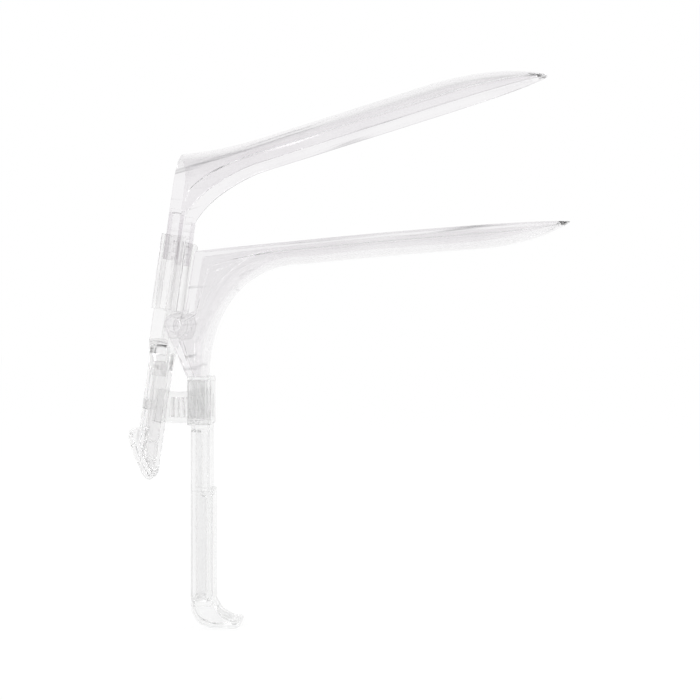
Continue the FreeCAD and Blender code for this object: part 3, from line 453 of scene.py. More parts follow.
def handle_solids():
    """The handle's solid forms and the hollows cut from them."""
    grip_plan = rounded([(GRIP_BACK, -NECK_HALF), (GRIP_FRONT, -NECK_HALF), (GRIP_FRONT, NECK_HALF),
                         (GRIP_BACK, NECK_HALF)], [0.8, 1.6, 1.6, 0.8], 8)
    grip = plate("grip", grip_plan, GRIP_FOOT - 0.4, GRIP_TOP, plan_view, 0.45)
    stem_half = NECK_HALF - 0.6
    stem_plan = rounded([(GRIP_BACK, -stem_half), (STEM_FRONT, -stem_half), (STEM_FRONT, stem_half),
                         (GRIP_BACK, stem_half)], [0.6, 1.2, 1.2, 0.6], 7)
    stem = plate("stem", stem_plan, GRIP_TOP - 1.5, COLLAR_FOOT + 1.5, plan_view, 0.3)
    front = COLLAR_BACK + COLLAR_DEEP
    collar_plan = rounded([(COLLAR_BACK, -NECK_HALF), (front, -NECK_HALF), (front, NECK_HALF),
                           (COLLAR_BACK, NECK_HALF)], [0.7, 1.4, 1.4, 0.7], 7)
    collar = plate("collar", collar_plan, COLLAR_FOOT, COLLAR_TOP, plan_view, 0.4)
    hook_outline = rounded([(GRIP_BACK, GRIP_FOOT + 1), (GRIP_BACK, -30.4), (-1.6, -33.6), (2.2, -35.3),
                            (10.2, -35.6), (11.9, -34.6), (11.6, -33.4), (8.6, -33.2), (5.2, -31.0),
                            (GRIP_FRONT, -27.6), (GRIP_FRONT, GRIP_FOOT + 2)],
                           [0.9, 3, 4, 4, 2.2, 1, 1.2, 4, 4, 2.5, 0.9], 7)
    hook = plate("hook", hook_outline, -HOOK_HALF, HOOK_HALF, side_view, 0.6)
    inner = NECK_HALF - GRIP_CHEEK
    channel = plate("channel", box_outline(-inner, inner, GRIP_FOOT + 1, COLLAR_FOOT - 1.6, 0.8), -20,
                    STEM_FRONT - 2.2, front_view, 0.5)
    deeper = plate("deeper", box_outline(-inner, inner, GRIP_FOOT + 1, GRIP_TOP - 1.3, 0.8), -20,
                   GRIP_FRONT - 1.8, front_view, 0.5)
    cells = [plate("cell", box_outline(*sorted((side * 4.2, side * inner)), COLLAR_FOOT + 1.6, COLLAR_TOP - 1.2, 0.6),
                   -20, front - 1.6, front_view, 0.4) for side in (-1, 1)]
    window = plate("window", box_outline(-WINDOW_HALF, WINDOW_HALF, COLLAR_FOOT + 0.2, COLLAR_TOP - 1.4, 0.3),
                   -20, 20, front_view, 0.2)
    ribs = [plate("rib", disc_outline(-1.6, side * WINDOW_HALF, WINDOW_HALF - STRAP_HALF - PAWL_GAP, 24),
                  COLLAR_FOOT, COLLAR_TOP - 1, plan_view, 0.1) for side in (-1, 1)]
    return [grip, stem, collar, hook], [channel, deeper, *cells, window], ribs


def trunnions():
    """Two short round pins on the ears, on the hinge's axis."""
    inside = MOUTH_HALF - WALL + 0.2
    outline = disc_outline(*hinge, 2.2)
    ends = sorted((inside, inside + 2 * WALL + 3.2))
    return [plate("trunnion", outline, *sorted((side * ends[0], side * ends[1])), side_view, 0.3) for side in (-1, 1)]


def lower_moulding():
    """The lower blade, its flare and the handle as one skin."""
    forms, hollows, ribs = handle_solids()
    handle = moulded("handle_part", forms, hollows)
    return moulded("lower_moulding", [low_shell(), handle, *ribs, *trunnions()])


lower = lower_moulding()

# %% [markdown]
# ## Upper blade, its arch and its legs
# The upper blade is the same U upside down, deeper, with a crown that bends down only near the tip. Towards the rear
# its walls grow into two wings and two flat legs, and the crown rises into an arch, so the mouth can be looked
# through. On each leg a T-shaped rider runs in the yoke's rail, and small saw teeth on it click as it slides.

# %% Upper blade
UP_TILT, UP_ROOT = 17.6, np.array([21.9, 107.1])
UP_REACH, UP_DEPTH, UP_HALF, UP_TIP = 88.6, 8.6, 14.9, 36.0
LEG_BACK, LEG_DEPTH, LEG_FOOT, ARCH_TOP = -6.0, 4.8, 19.0, 52.6
RUNNING = 0.3
LEG_INNER = MOUTH_HALF + RUNNING + 0.1
WING_FOOT, UP_LEDGE = 29.0, 0.62
TOOTH_PITCH = 2.4


def up_rim(along):
    """The upper blade's rim: a straight line at the blade's tilt."""
    return UP_ROOT + np.multiply.outer(along, direction(UP_TILT))


def curve_through(points, leaving, arriving, steps=20):
    """A smooth line through points: between two of them a cubic that leaves and arrives along given directions.

    An inner point's direction is the way from the point before it to the point after it.
    """
    points = np.array(points, float)
    inner = points[2:] - points[:-2]
    inner = inner / np.linalg.norm(inner, axis=1)[:, None]
    ways = np.concatenate([[leaving], inner, [arriving]])
    reach = np.linalg.norm(points[1:] - points[:-1], axis=1)[:, None, None]
    t = np.linspace(0, 1, steps)[None, :, None]
    start, end = points[:-1, None], points[1:, None]
    blend = start * (2 * t ** 3 - 3 * t ** 2 + 1) + end * (3 * t ** 2 - 2 * t ** 3)
    bend = ways[:-1, None] * (t ** 3 - 2 * t ** 2 + t) + ways[1:, None] * (t ** 3 - t ** 2)
    return (blend + bend * reach).reshape(-1, 2)


def up_outline():
    """The side outline below the crown: the rim, the wing's hollow curve, and the foot of the wing."""
    rim = up_rim(np.linspace(UP_REACH, -4, 50))
    front = LEG_BACK + LEG_DEPTH
    wing = curve_through([up_rim(-4.0), up_rim(-18.0) + (0, -2.6), from_yoke(front + 0.7, 34.6),
                          from_yoke(front, WING_FOOT)], -direction(UP_TILT), -slide_up)
    return np.concatenate([rim, wing[1:], [from_yoke(LEG_BACK - 1.5, WING_FOOT)]])


def up_sections():
    """Foot, aim, half width, corner, height and fullness of the upper sections, from the tip to the mouth's rear."""
    spread = np.linspace(0, 1, 100)
    along = UP_REACH - TIP_GAP - (UP_REACH - TIP_GAP) * spread ** 1.6
    left = tip_share(along, UP_REACH - UP_TIP, UP_TIP)
    depth = UP_DEPTH * left ** 0.8
    aim = np.broadcast_to(direction(UP_TILT - 90), (len(along), 2))
    wide = tip_share(along, UP_REACH - UP_TIP + 4, UP_TIP - 4) ** 0.5
    half = np.maximum(UP_HALF * wide, 1.2) - 0.5 * smooth_step((17 - along) / 17)
    blade = [up_rim(along) - aim * depth[:, None], aim, half, depth, depth, np.full(len(along), 0.55)]
    share = np.linspace(0, 1, 90)[1:]
    start = up_rim(0.0) - UP_DEPTH * direction(UP_TILT - 90)
    arch = from_yoke(LEG_BACK - 0.2, ARCH_TOP)
    middle = start - direction(UP_TILT) * 0.55 * np.linalg.norm(start - arch)
    s = share[:, None]
    crown = start * (1 - s) ** 2 + middle * 2 * s * (1 - s) + arch * s ** 2
    aim = direction(UP_TILT - (lever_lean + UP_TILT) * share - 90)
    eased = smooth_step(share)
    half = UP_HALF - 0.5 + (LEG_INNER + WALL - UP_HALF + 0.5) * eased
    corner = UP_DEPTH + (11.5 - UP_DEPTH) * eased
    height = reach_to(up_outline(), crown, aim)
    mouth = [crown, aim, half, corner, height, 0.55 + 0.17 * eased]
    return [np.concatenate(pair) for pair in zip(blade, mouth)]


def up_shell():
    """The upper blade's skin: its sections carried from the tip to the rear of the mouth."""
    foot, aim, half, corner, height, square = up_sections()
    along = (foot - up_rim(0.0)) @ direction(UP_TILT)
    near_tip = smooth_step((12 - (UP_REACH - along)) / 12) * (along > 0)
    floor = WALL + (TIP_FLOOR - WALL) * near_tip
    return solid("up_shell", u_loops(foot, aim, half, corner, height, square, floor, UP_LEDGE))


def leg_solids(side):
    """One leg with its T-shaped rider and six height teeth, on the near side for -1 and the far side for 1."""
    outer = LEG_INNER + WALL
    head_in, head_out = outer + 1.9, outer + 2.5
    neck = LEG_BACK + (LEG_DEPTH - 2.6) / 2 + 0.2

    def slab(name, inside, outside, low, high, back, front, edge):
        outline = box_outline(*sorted((side * inside, side * outside)), low, high, 0.25)
        return plate(name, outline, back, front, yoke_front, edge)

    leg = slab("leg", LEG_INNER, outer + 0.08, LEG_FOOT, 34.5, LEG_BACK, LEG_BACK + LEG_DEPTH, 0.3)
    rider = slab("rider", outer - 0.3, head_in + 0.2, LEG_FOOT + 0.02, 33, neck, neck + 2.2, 0.15)
    head = slab("head", head_in, head_out, LEG_FOOT + 0.04, 33.02, LEG_BACK + 0.1, LEG_BACK + LEG_DEPTH - 0.1, 0.12)
    teeth = []
    for number in range(6):
        foot = LEG_FOOT + 1 + TOOTH_PITCH * number
        saw = np.array([(head_out - 0.1, foot), (head_out + 0.48, foot + 0.9), (head_out + 0.48, foot + 1.2),
                        (head_out - 0.1, foot + 1.2)]) * (side, 1)
        teeth.append(plate("tooth", rounded(saw, 0.08, 3), LEG_BACK + 1, LEG_BACK + LEG_DEPTH - 1, yoke_front, 0.06))
    return [leg, rider, head, *teeth]


upper = moulded("upper_moulding", [up_shell(), *leg_solids(-1), *leg_solids(1)])

# %% [markdown]
# ## Yoke and thumb lever
# The yoke is a fork: two C-shaped rails for the riders, two bosses that turn on the trunnions, and a waist that runs
# down into the thumb lever. Both are drawn in the leaning frame, the rails from their plan, the waist from the front
# and the lever from the side, so that every long edge runs along the slide as it does on the real moulding.

# %% Yoke and lever
FORK_INNER = MOUTH_HALF + WALL + 2 * RUNNING + 0.1
FORK_HALF = MOUTH_HALF + WALL + 3 * RUNNING + 1.5
RAIL_FOOT, RAIL_TOP, RAIL_BACK, RAIL_DEEP, RAIL_OUT = 3.9, 26.4, -7.1, 7.4, FORK_INNER + 3.8
LEVER_BACK, LEVER_DEEP, LEVER_HALF, LEVER_FOOT = -7.15, 6.3, 7.5, -48.0
FORK_SEAT, PAD_HALF, PAD_TOP, PAD_OUT = -5.5, 9.0, -33.4, 2.6
LEVER_WALL = 1.6
GROOVE_HALF = PAD_HALF - 1.6


def rail(side):
    """A rail as one C-shaped outline in plan, with its head slot and neck slot, carried up the slide."""
    neck_low = LEG_BACK + (LEG_DEPTH - 2.6) / 2
    neck_high = LEG_BACK + (LEG_DEPTH + 2.6) / 2
    head_low, head_high = LEG_BACK - 0.2, LEG_BACK + LEG_DEPTH + 0.2
    front = RAIL_BACK + RAIL_DEEP
    corners = [(RAIL_BACK, FORK_INNER), (neck_low, FORK_INNER), (neck_low, FORK_INNER + 1.2),
               (head_low, FORK_INNER + 1.2), (head_low, RAIL_OUT - 1.0), (head_high, RAIL_OUT - 1.0),
               (head_high, FORK_INNER + 1.2), (neck_high, FORK_INNER + 1.2), (neck_high, FORK_INNER),
               (front, FORK_INNER), (front, RAIL_OUT), (RAIL_BACK, RAIL_OUT)]
    radii = [0.3, 0.15, 0.1, 0.15, 0.15, 0.15, 0.15, 0.1, 0.15, 0.3, 0.5, 0.5]
    outline = rounded(np.array(corners) * (1, side), radii, 4)
    return plate("rail", outline, RAIL_FOOT + 0.1, RAIL_TOP, yoke_plan, 0.12)


def lever_outline():
    """The lever from the side: a straight shank whose back turns in at the foot, just inside the thumb pad."""
    front = LEVER_BACK + LEVER_DEEP
    return rounded([(LEVER_BACK, FORK_SEAT - 3), (LEVER_BACK, PAD_TOP - 7.0), (-4.2, LEVER_FOOT + 2.7),
                    (-2.8, LEVER_FOOT + 1.2), (-1.5, LEVER_FOOT + 0.5), (front, LEVER_FOOT + 1.2),
                    (front, FORK_SEAT - 3)], [0.8, 3, 3, 2, 0.9, 0.9, 0.8], 7)


def pad_outline():
    """The thumb pad from the side: it swells backwards, tapers to the foot, and is closed by a line in the lever."""
    return rounded([(LEVER_BACK + 1.4, PAD_TOP + 1.0), (LEVER_BACK - PAD_OUT, PAD_TOP),
                    (LEVER_BACK - PAD_OUT - 0.2, PAD_TOP - 2.8), (LEVER_BACK - 0.4, PAD_TOP - 7.6),
                    (-4.6, LEVER_FOOT + 2.1), (-3.2, LEVER_FOOT + 0.6), (-1.4, LEVER_FOOT), (-1.2, LEVER_FOOT + 2.3),
                    (-4.9, LEVER_FOOT + 7.4), (LEVER_BACK + 0.9, PAD_TOP - 3.4)],
                   [0.9, 0.9, 1.4, 6, 3, 2, 0.9, 0.9, 3, 3], 7)


def pad_grooves():
    """Three round grooves across the thumb pad's back, given by their centres in the yoke's frame."""
    return [plate("groove", disc_outline(*centre, 0.55, 24), -GROOVE_HALF, GROOVE_HALF, yoke_side, 0.15)
            for centre in ((-9.85, -34.8), (-8.75, -38.6), (-6.08, -43.45))]


def rail_shoulder():
    """What rounds off the rails' upper front corners: a square block less a quarter circle."""
    front, round_by = RAIL_BACK + RAIL_DEEP, 1.2
    arc = np.array([front - round_by, RAIL_TOP - round_by]) + round_by * direction(np.linspace(0, 90, 9))
    block = [(front - round_by, RAIL_TOP + 2), (front + 2, RAIL_TOP + 2), (front + 2, RAIL_TOP - round_by)]
    return plate("shoulder", np.concatenate([block, arc]), -30, 30, yoke_side, 0.05)


def yoke_solids():
    """The yoke's forms, and the spaces cut from them."""
    top, low = RAIL_FOOT + 0.45, FORK_SEAT
    fork_front = [(FORK_HALF, top), (-FORK_HALF, top), (-FORK_HALF, low - 0.5), (-LEVER_HALF - 0.4, low - 9),
                  (-LEVER_HALF, low - 11), (LEVER_HALF, low - 11), (LEVER_HALF + 0.4, low - 9), (FORK_HALF, low - 0.5)]
    back = LEVER_BACK + 0.6
    fork = plate("fork", rounded(fork_front, [0.4, 0.4, 2, 2, 1, 1, 2, 2]), back, back + LEVER_DEEP - 0.9, yoke_front)
    bosses = [plate("boss", disc_outline(0, 0, 4.2, 64), *sorted((side * (FORK_INNER - 0.6), side * FORK_HALF)),
                    yoke_side, 0.3) for side in (-1, 1)]
    lever = plate("lever", lever_outline(), -LEVER_HALF, LEVER_HALF, yoke_side, 0.5)
    pad = plate("pad", pad_outline(), -PAD_HALF, PAD_HALF, yoke_side, 0.5)
    opening = [(FORK_INNER, top + 8), (-FORK_INNER, top + 8), (-FORK_INNER, low), (-9, low - 1.6), (9, low - 1.6),
               (FORK_INNER, low)]
    gap = plate("gap", rounded(opening, [1, 1, 1.5, 4, 4, 1.5]), -30, 30, yoke_front)
    inside = LEVER_HALF - LEVER_WALL
    hollow = plate("hollow", box_outline(-inside, inside, PAD_TOP - 3, low - 3.4, 0.8), LEVER_BACK + LEVER_WALL, 20,
                   yoke_front, 0.4)
    foot = rounded([(LEVER_BACK + LEVER_WALL, PAD_TOP - 2.9), (0, PAD_TOP - 2.9), (0, LEVER_FOOT + 2.6),
                    (-2.6, LEVER_FOOT + 2.6), (LEVER_BACK + LEVER_WALL, PAD_TOP - 6.4)], 0.5)
    foot_hollow = plate("foot_hollow", foot, -inside, inside, yoke_side, 0.3)
    seat = plate("seat", box_outline(-3, 3, -26.9, -23.7, 0.3), -30, LEVER_BACK + LEVER_WALL + 0.5, yoke_front, 0.1)
    bores = plate("bores", disc_outline(0, 0, 2.26, 64), -40, 40, yoke_side, 0.1)
    return [lever, fork, pad, *bosses], [gap, hollow, foot_hollow, seat, bores, *pad_grooves()]


def yoke_moulding():
    """The fork and lever cut hollow, then the rails added and their upper front corners rounded."""
    forms, spaces = yoke_solids()
    body = moulded("yoke_part", forms, spaces)
    return moulded("yoke_moulding", [body, rail(-1), rail(1)], [rail_shoulder()])


yoke = yoke_moulding()

# %% [markdown]
# ## Toothed strap
# The strap is an arc about the hinge, so it can slide through the collar while the lever turns. It has a rim above and
# below and saw teeth in the hollow between, on both faces. Its root fills the lever's hollow, and its peg shows in a
# window at the back. All its angles are measured from straight down, forward of the hinge.

# %% Strap
STRAP_NEAR, STRAP_FAR, STRAP_WEB, STRAP_REACH = 20.5, 30.1, 1.0, 26.5
STRAP_RIM = 1.7
TOOTH_STEP, TOOTH_FIRST, TOOTH_COUNT = 3.625, 18.6, 8
STRAP_START = -lever_lean - 4


def arc_outline(inner, outer, start, end, steps=40):
    """A part of a ring about the hinge in the side view, between two angles from straight down."""
    turn = np.linspace(start, end, steps) - 90
    return np.concatenate([hinge + inner * direction(turn), (hinge + outer * direction(turn))[::-1]])


def strap_solids():
    """The strap's band, its two recesses, the teeth in them, the upright cut of its end, and its root."""
    band = plate("band", arc_outline(STRAP_NEAR, STRAP_FAR, STRAP_START, STRAP_REACH), -STRAP_HALF, STRAP_HALF,
                 side_view, 0.25)
    end = COLLAR_BACK + COLLAR_DEEP + 0.3
    beyond = plate("beyond", box_outline(end, end + 20, 10, 60), -10, 10, side_view)
    recesses, teeth = [], []
    low, high = STRAP_NEAR + STRAP_RIM, STRAP_FAR - STRAP_RIM
    for side in (-1, 1):
        recesses.append(plate("recess", arc_outline(low, high, -lever_lean + 1.5, STRAP_REACH + 2),
                              *sorted((side * STRAP_WEB, side * (STRAP_HALF + 1))), side_view, 0.05))
        for number in range(TOOTH_COUNT):
            turn = TOOTH_FIRST - number * TOOTH_STEP - 90
            along, out = direction(turn + 90), direction(turn)
            foot = hinge + out * (low - 0.2)
            ramp = np.array([(0, 0.9), (1.1, 0.9), (0.35, STRAP_HALF), (0, STRAP_HALF)])
            ring = np.stack([foot[0] - along[0] * ramp[:, 0], side * ramp[:, 1], foot[1] - along[1] * ramp[:, 0]], -1)
            far = ring + np.array([out[0], 0, out[1]]) * (high - low + 0.4)
            teeth.append(solid("saw", np.stack([ring, far])))
    inside = LEVER_HALF - LEVER_WALL - 0.1
    root = plate("root", box_outline(-inside, inside, -STRAP_FAR - 0.4, -STRAP_NEAR + 0.4, 0.4),
                 LEVER_BACK + LEVER_WALL + 1.8, LEVER_BACK + LEVER_DEEP - 0.1, yoke_front, 0.25)
    peg = plate("peg", box_outline(-2.85, 2.85, -26.75, -23.85, 0.25), LEVER_BACK + 0.1, LEVER_BACK + 3.7,
                yoke_front, 0.2)
    return [band, beyond, *recesses], [root, peg, *teeth]


def strap_moulding():
    """The band less its recesses and its end, then the root, the peg and the teeth added."""
    (band, *spaces), added = strap_solids()
    body = moulded("strap_part", [band], spaces)
    return moulded("strap_moulding", [body, *added])


strap = strap_moulding()

# %% [markdown]
# ## Clear plastic
# Clear polystyrene is glass-like: light goes through, bends at each face, and is lost a little on the way. So the
# Principled shader keeps a plain transmission weight and index. What changes over a real moulding is small, and two
# node groups make it: one gives the faint grey and lilac casts of the plastic and paints dark streaks along it, which
# are painted reflections of a dark studio, and one gives the gloss, from polished faces to faintly matt ones, with the
# slow waviness that makes reflections run and break.


# %% Node groups for the moulded plastic
# Tilt and Grain aim and stretch the streak noise, which gives both the painted reflection streaks in the colour and
# the flow bumps in the normal.
FLOW_AND_REFLECTION_INPUTS = (("Tilt", "NodeSocketVector", (0, 0, 0)), ("Grain", "NodeSocketVector", (0.07, 0.02, 0.003)))


def socket(group, name, kind, inward=True, value=None):
    """A named input or output of a shader node group, with its default value."""
    made = group.interface.new_socket(name=name, in_out="INPUT" if inward else "OUTPUT", socket_type=kind)
    if value is not None:
        made.default_value = value
    return made


def chain(tree, kind, **settings):
    """A node of a kind with its settings; a setting written as a socket's name with values sets that input."""
    node = tree.nodes.new(kind)
    for name, value in settings.items():
        if hasattr(node, name):
            setattr(node, name, value)
        else:
            node.inputs[name.replace("_", " ")].default_value = value
    return node


def wire(tree, *joins):
    """Joins nodes: each join names a node and its output, then a node and its input."""
    for source, output, target, entry in joins:
        tree.links.new(source.outputs[output], target.inputs[entry])


def streaks(group, start):
    """Noise drawn out along a moulding's length: its own coordinates, turned by Tilt and divided by Grain."""
    place = group.nodes.new("ShaderNodeTexCoord")
    drawn = chain(group, "ShaderNodeMapping", vector_type="TEXTURE")
    noise = chain(group, "ShaderNodeTexNoise", Scale=1.0, Detail=3.0, Roughness=0.6)
    wire(group, (place, "Object", drawn, "Vector"), (start, "Tilt", drawn, "Rotation"),
         (start, "Grain", drawn, "Scale"), (drawn, "Vector", noise, "Vector"))
    return noise


def tint_group():
    """Group that puts out the plastic's colour: two tints mixed by slow noise, and dark painted reflections as
    streaks.
    """
    group = bpy.data.node_groups.new("plastic_tint", "ShaderNodeTree")
    for name, kind, value in (("Clear", "NodeSocketColor", (0.95, 0.95, 0.955, 1)),
                              ("Cast", "NodeSocketColor", (0.86, 0.84, 0.87, 1)),
                              ("Line", "NodeSocketColor", (0.5, 0.48, 0.5, 1)),
                              ("Painted Reflection From", "NodeSocketFloat", 0.6), ("Patch Scale", "NodeSocketFloat", 28.0),
                              *FLOW_AND_REFLECTION_INPUTS):
        socket(group, name, kind, value=value)
    socket(group, "Color", "NodeSocketColor", inward=False)
    start = group.nodes.new("NodeGroupInput")
    end = group.nodes.new("NodeGroupOutput")
    place = group.nodes.new("ShaderNodeTexCoord")
    noise = chain(group, "ShaderNodeTexNoise", Detail=3.0, Roughness=0.55)
    spread = chain(group, "ShaderNodeMapRange", interpolation_type="SMOOTHSTEP")
    spread.inputs["From Min"].default_value = 0.38
    spread.inputs["From Max"].default_value = 0.68
    mix = chain(group, "ShaderNodeMix", data_type="RGBA")
    # The streak mask and this second mix paint dark streaks into the colour along the moulding: painted reflections of
    # a dark studio.
    with_painted_reflection = chain(group, "ShaderNodeMix", data_type="RGBA")
    painted_reflection_mask = chain(group, "ShaderNodeMapRange", interpolation_type="SMOOTHSTEP")
    painted_reflection_mask.inputs["From Max"].default_value = 0.78
    wire(group, (place, "Object", noise, "Vector"), (start, "Patch Scale", noise, "Scale"),
         (noise, "Fac", spread, "Value"), (spread, "Result", mix, "Factor"), (start, "Clear", mix, "A"),
         (start, "Cast", mix, "B"), (streaks(group, start), "Fac", painted_reflection_mask, "Value"),
         (start, "Painted Reflection From", painted_reflection_mask, "From Min"), (painted_reflection_mask, "Result", with_painted_reflection, "Factor"),
         (mix, "Result", with_painted_reflection, "A"), (start, "Line", with_painted_reflection, "B"), (with_painted_reflection, "Result", end, "Color"))
    return group


def gloss_group():
    """Group that puts out roughness and a normal: fine mould texture in the roughness, slow waves in the normal."""
    group = bpy.data.node_groups.new("mould_gloss", "ShaderNodeTree")
    for name, kind, value in (("Polish", "NodeSocketFloat", 0.01), ("Matt", "NodeSocketFloat", 0.05),
                              ("Wave Scale", "NodeSocketFloat", 60.0), ("Wave Height", "NodeSocketFloat", 0.00002),
                              ("Flow Height", "NodeSocketFloat", 0.00001), *FLOW_AND_REFLECTION_INPUTS):
        socket(group, name, kind, value=value)
    socket(group, "Roughness", "NodeSocketFloat", inward=False)
    socket(group, "Normal", "NodeSocketVector", inward=False)
    start = group.nodes.new("NodeGroupInput")
    end = group.nodes.new("NodeGroupOutput")
    place = group.nodes.new("ShaderNodeTexCoord")
    grain = chain(group, "ShaderNodeTexNoise", Scale=420.0, Detail=4.0)
    spread = chain(group, "ShaderNodeMapRange")
    wave = chain(group, "ShaderNodeTexNoise", Detail=2.0, Roughness=0.4)
    bump = chain(group, "ShaderNodeBump", Strength=1.0)
    flow = chain(group, "ShaderNodeBump", Strength=1.0)
    wire(group, (place, "Object", grain, "Vector"), (place, "Object", wave, "Vector"), (grain, "Fac", spread, "Value"),
         (start, "Polish", spread, "To Min"), (start, "Matt", spread, "To Max"),
         (spread, "Result", end, "Roughness"), (start, "Wave Scale", wave, "Scale"),
         (start, "Wave Height", bump, "Distance"), (wave, "Fac", bump, "Height"),
         (start, "Flow Height", flow, "Distance"), (streaks(group, start), "Fac", flow, "Height"),
         (bump, "Normal", flow, "Normal"), (flow, "Normal", end, "Normal"))
    return group


plastic_tint = tint_group()
mould_gloss = gloss_group()
print("groups:", plastic_tint.name, "and", mould_gloss.name)


# %% Materials
# line is the colour of the painted reflections, dark streaks painted along the moulding, and the threshold after it
# sets how much of the streak noise they cover.
def clear_plastic(name, clear, cast, matt, clearness, tilt, line=(0.5, 0.48, 0.5), painted_reflection_from=0.6, waves=55.0,
                  wave_height=0.00003, flow=0.00002, grain=(0.07, 0.02, 0.0028)):
    """Clear plastic: a Principled shader that transmits most of its light, with what varies taken from the groups."""
    material = bpy.data.materials.new(name)
    material.use_nodes = True
    tree = material.node_tree
    shader = tree.nodes["Principled BSDF"]
    shader.inputs["Metallic"].default_value = 0.0
    shader.inputs["Transmission Weight"].default_value = clearness
    shader.inputs["IOR"].default_value = PLASTIC_INDEX
    turned = (0, -np.radians(tilt), 0)
    tint = tree.nodes.new("ShaderNodeGroup")
    tint.node_tree = plastic_tint
    gloss = tree.nodes.new("ShaderNodeGroup")
    gloss.node_tree = mould_gloss
    settings = ((tint, {"Clear": (*clear, 1), "Cast": (*cast, 1), "Line": (*line, 1), "Painted Reflection From": painted_reflection_from,
                        "Patch Scale": 26.0, "Tilt": turned, "Grain": grain}),
                (gloss, {"Polish": 0.3 * matt, "Matt": matt, "Wave Scale": waves, "Wave Height": wave_height,
                         "Flow Height": flow, "Tilt": turned, "Grain": grain}))
    for node, values in settings:
        for key, value in values.items():
            node.inputs[key].default_value = value
    wire(tree, (tint, "Color", shader, "Base Color"), (gloss, "Roughness", shader, "Roughness"),
         (gloss, "Normal", shader, "Normal"))
    return material


PLASTIC_INDEX = 1.53
# The streak colours are painted reflections: near black on the two blades, mid grey on the lever, pale on the handle
# and strap.
blade_plastic = clear_plastic("blade_plastic", (0.915, 0.905, 0.915), (0.875, 0.86, 0.875), 0.05, 1.0, UP_TILT,
                              line=(0.08, 0.08, 0.09), painted_reflection_from=0.61)
lower_plastic = clear_plastic("lower_plastic", (0.9, 0.892, 0.9), (0.855, 0.843, 0.855), 0.05, 1.0, LOW_TILT,
                              line=(0.08, 0.08, 0.09), painted_reflection_from=0.59)
handle_plastic = clear_plastic("handle_plastic", (0.935, 0.935, 0.935), (0.905, 0.905, 0.905), 0.2, 1.0, 90.0,
                               line=(0.82, 0.82, 0.82), flow=0.00001)
lever_plastic = clear_plastic("lever_plastic", (0.945, 0.942, 0.943), (0.905, 0.901, 0.903), 0.09, 0.97,
                              90.0 - lever_lean, line=(0.5, 0.49, 0.5), grain=(0.03, 0.01, 0.0016))
strap_plastic = clear_plastic("strap_plastic", (0.935, 0.935, 0.935), (0.91, 0.91, 0.91), 0.08, 0.97, 0.0,
                              line=(0.8, 0.8, 0.8), grain=(0.02, 0.01, 0.002))
print("materials:", [m.name for m in bpy.data.materials if m.name.endswith("plastic")])

# %% [markdown]
# ## Riding on the frame
# The mouldings were worked out in millimetres, so each mesh is brought to metres in place, and its object stays at
# the origin. Then each one takes its material, stands for its CAD node, and rides on the body that carries it.


# %% Dress the frame
def dress(piece, material, body, node):
    """Brings a moulding to metres and puts it on its body in place of its CAD node."""
    points = np.empty(len(piece.data.vertices) * 3, np.float32)
    piece.data.vertices.foreach_get("co", points)
    piece.data.vertices.foreach_set("co", points * MM)
    piece.data.update()
    piece.data.materials.append(material)
    flats = piece.modifiers.new("flat_faces", "WEIGHTED_NORMAL")
    flats.mode = "FACE_AREA"
    flats.keep_sharp = True
    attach(piece, body)
    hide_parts(node)
    return piece


dress(lower, lower_plastic, "handle", "lower_blade_handle")
lower.data.materials.append(handle_plastic)
heights = np.array([face.center[2] for face in lower.data.polygons])
lower.data.polygons.foreach_set("material_index", (heights < COLLAR_TOP * MM).astype(np.int32))
dress(upper, blade_plastic, "upper_blade", "upper_blade")
dress(yoke, lever_plastic, "lever", "yoke_lever")
dress(strap, strap_plastic, "lever", "ratchet_strap")
for piece in (lower, upper, yoke, strap):
    corners = np.array([v[:] for v in piece.bound_box]) / MM
    print(piece.name, corners.min(0).round(1), corners.max(0).round(1))

# %% [markdown]
# ## Floor, background and light
# The photograph is on pure white. The floor and the world show white to the camera and to light that comes through
# the plastic or off it, and light the rest of the scene at a plain level. Towards the top and the bottom the world
# turns grey, as a studio does, and that is what draws the darker lines along the edges of clear plastic.


# %% Stage
FALL_FROM, FALL_TO, FALL_GREY = 0.35, 0.95, 0.74
FLOOR_GLOW, GLOW_SHARE = 1.02, 0.92
BOUNCES = 32


def studio_world():
    """A world that is white round the horizon and greyer above and below, with plain light for matt surfaces."""
    world = bpy.data.worlds.new("studio")
    bpy.context.scene.world = world
    world.use_nodes = True
    tree = world.node_tree
    tree.nodes.clear()
    out = tree.nodes.new("ShaderNodeOutputWorld")
    shine = tree.nodes.new("ShaderNodeBackground")
    place = tree.nodes.new("ShaderNodeTexCoord")
    split = tree.nodes.new("ShaderNodeSeparateXYZ")
    away = chain(tree, "ShaderNodeMath", operation="ABSOLUTE")
    fall = chain(tree, "ShaderNodeMapRange", interpolation_type="SMOOTHSTEP")
    for name, value in (("From Min", FALL_FROM), ("From Max", FALL_TO), ("To Min", 1.0), ("To Max", FALL_GREY)):
        fall.inputs[name].default_value = value
    path = tree.nodes.new("ShaderNodeLightPath")
    white = chain(tree, "ShaderNodeMath", operation="MAXIMUM")
    wire(tree, (place, "Generated", split, "Vector"), (split, "Z", away, 0), (away, 0, fall, "Value"),
         (fall, "Result", white, 0), (path, "Is Camera Ray", white, 1), (white, 0, shine, "Strength"),
         (shine, "Background", out, "Surface"))
    shine.inputs["Color"].default_value = (1, 1, 1, 1)
    return world


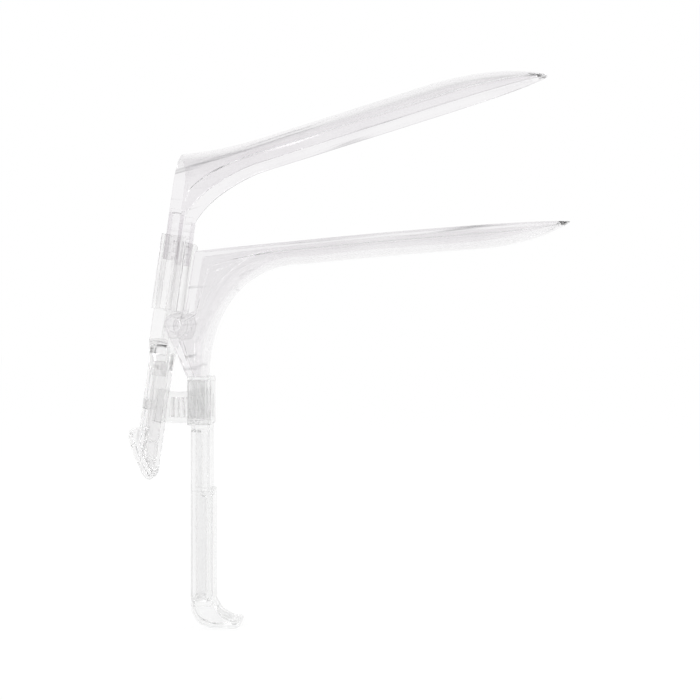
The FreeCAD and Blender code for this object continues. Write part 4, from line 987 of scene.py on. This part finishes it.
def white_floor(height, reach):
    """A square floor that shows nearly pure white to the camera and through the plastic, and keeps faint shadows."""
    mesh = bpy.data.meshes.new("floor")
    mesh.from_pydata([(-reach, -reach, height), (reach, -reach, height), (reach, reach, height),
                      (-reach, reach, height)], [], [(0, 1, 2, 3)])
    floor = bpy.data.objects.new("floor", mesh)
    bpy.context.scene.collection.objects.link(floor)
    material = bpy.data.materials.new("white_floor")
    material.use_nodes = True
    tree = material.node_tree
    tree.nodes.clear()
    out = tree.nodes.new("ShaderNodeOutputMaterial")
    matt = chain(tree, "ShaderNodeBsdfDiffuse", Color=(0.9, 0.9, 0.9, 1))
    glow = chain(tree, "ShaderNodeEmission", Color=(1, 1, 1, 1), Strength=FLOOR_GLOW)
    mix = tree.nodes.new("ShaderNodeMixShader")
    path = tree.nodes.new("ShaderNodeLightPath")
    seen = chain(tree, "ShaderNodeMath", operation="MAXIMUM")
    seen_too = chain(tree, "ShaderNodeMath", operation="MAXIMUM")
    share = chain(tree, "ShaderNodeMath", operation="MULTIPLY")
    share.inputs[1].default_value = GLOW_SHARE
    wire(tree, (path, "Is Camera Ray", seen, 0), (path, "Is Transmission Ray", seen, 1), (seen, 0, seen_too, 0),
         (path, "Is Glossy Ray", seen_too, 1), (seen_too, 0, share, 0), (share, 0, mix, "Fac"),
         (matt, "BSDF", mix, 1), (glow, "Emission", mix, 2), (mix, "Shader", out, "Surface"))
    mesh.materials.append(material)
    return floor


def soft_lamp(name, place, target, width, power):
    """A square area lamp that looks from one point at another."""
    lamp = bpy.data.lights.new(name, "AREA")
    lamp.size = width
    lamp.energy = power
    holder = bpy.data.objects.new(name, lamp)
    holder.location = place
    way = np.array(target) - np.array(place)
    holder.rotation_euler = (math.atan2(math.hypot(way[0], way[1]), -way[2]), 0, math.atan2(-way[0], way[1]))
    bpy.context.scene.collection.objects.link(holder)
    return holder


studio_world()
floor = white_floor(cad_low[2] - 0.0004, 14.0)
middle = (0.045, 0.0, 0.05)
soft_lamp("key", (-0.5, -0.6, 0.8), middle, 0.5, 3.0)
soft_lamp("rim", (0.6, 0.5, 0.6), middle, 0.4, 2.0)
print("floor at", round(floor.data.vertices[0].co.z / MM, 1), "mm")

# %% [markdown]
# ## Camera
# The photograph looks square at the side. The near and far rims of the blades lie a little apart in it, and from
# that the camera stands about 0.56 m away. At the plane of symmetry its 700 pixels span 216.3 mm. The middle of the
# view is 45.1 mm in front of the grip's middle and 49.4 mm above it.

# %% Camera
VIEW_SPAN, VIEW_DISTANCE = 216.3, 560.0
VIEW_X, VIEW_Z = 45.1, 49.4
camera = bpy.data.cameras.new("camera")
camera.sensor_width = 36.0
camera.lens = camera.sensor_width * VIEW_DISTANCE / VIEW_SPAN
holder = bpy.data.objects.new("camera", camera)
holder.location = (VIEW_X * MM, -VIEW_DISTANCE * MM, VIEW_Z * MM)
holder.rotation_euler = (math.radians(90), 0, 0)
bpy.context.scene.collection.objects.link(holder)
bpy.context.scene.camera = holder
bpy.context.scene.view_settings.view_transform = "Standard"
bpy.context.scene.cycles.max_bounces = BOUNCES
bpy.context.scene.cycles.transmission_bounces = BOUNCES
bpy.context.scene.cycles.glossy_bounces = 24
print("lens", round(camera.lens, 1), "mm")

# %% [markdown]
# ## Finish
# The scene is brought up to date. The CAD box and each moulding's box are printed further up. The
# dressed part has to stay in the CAD model's box.

# %% Finish
bpy.context.view_layer.update()
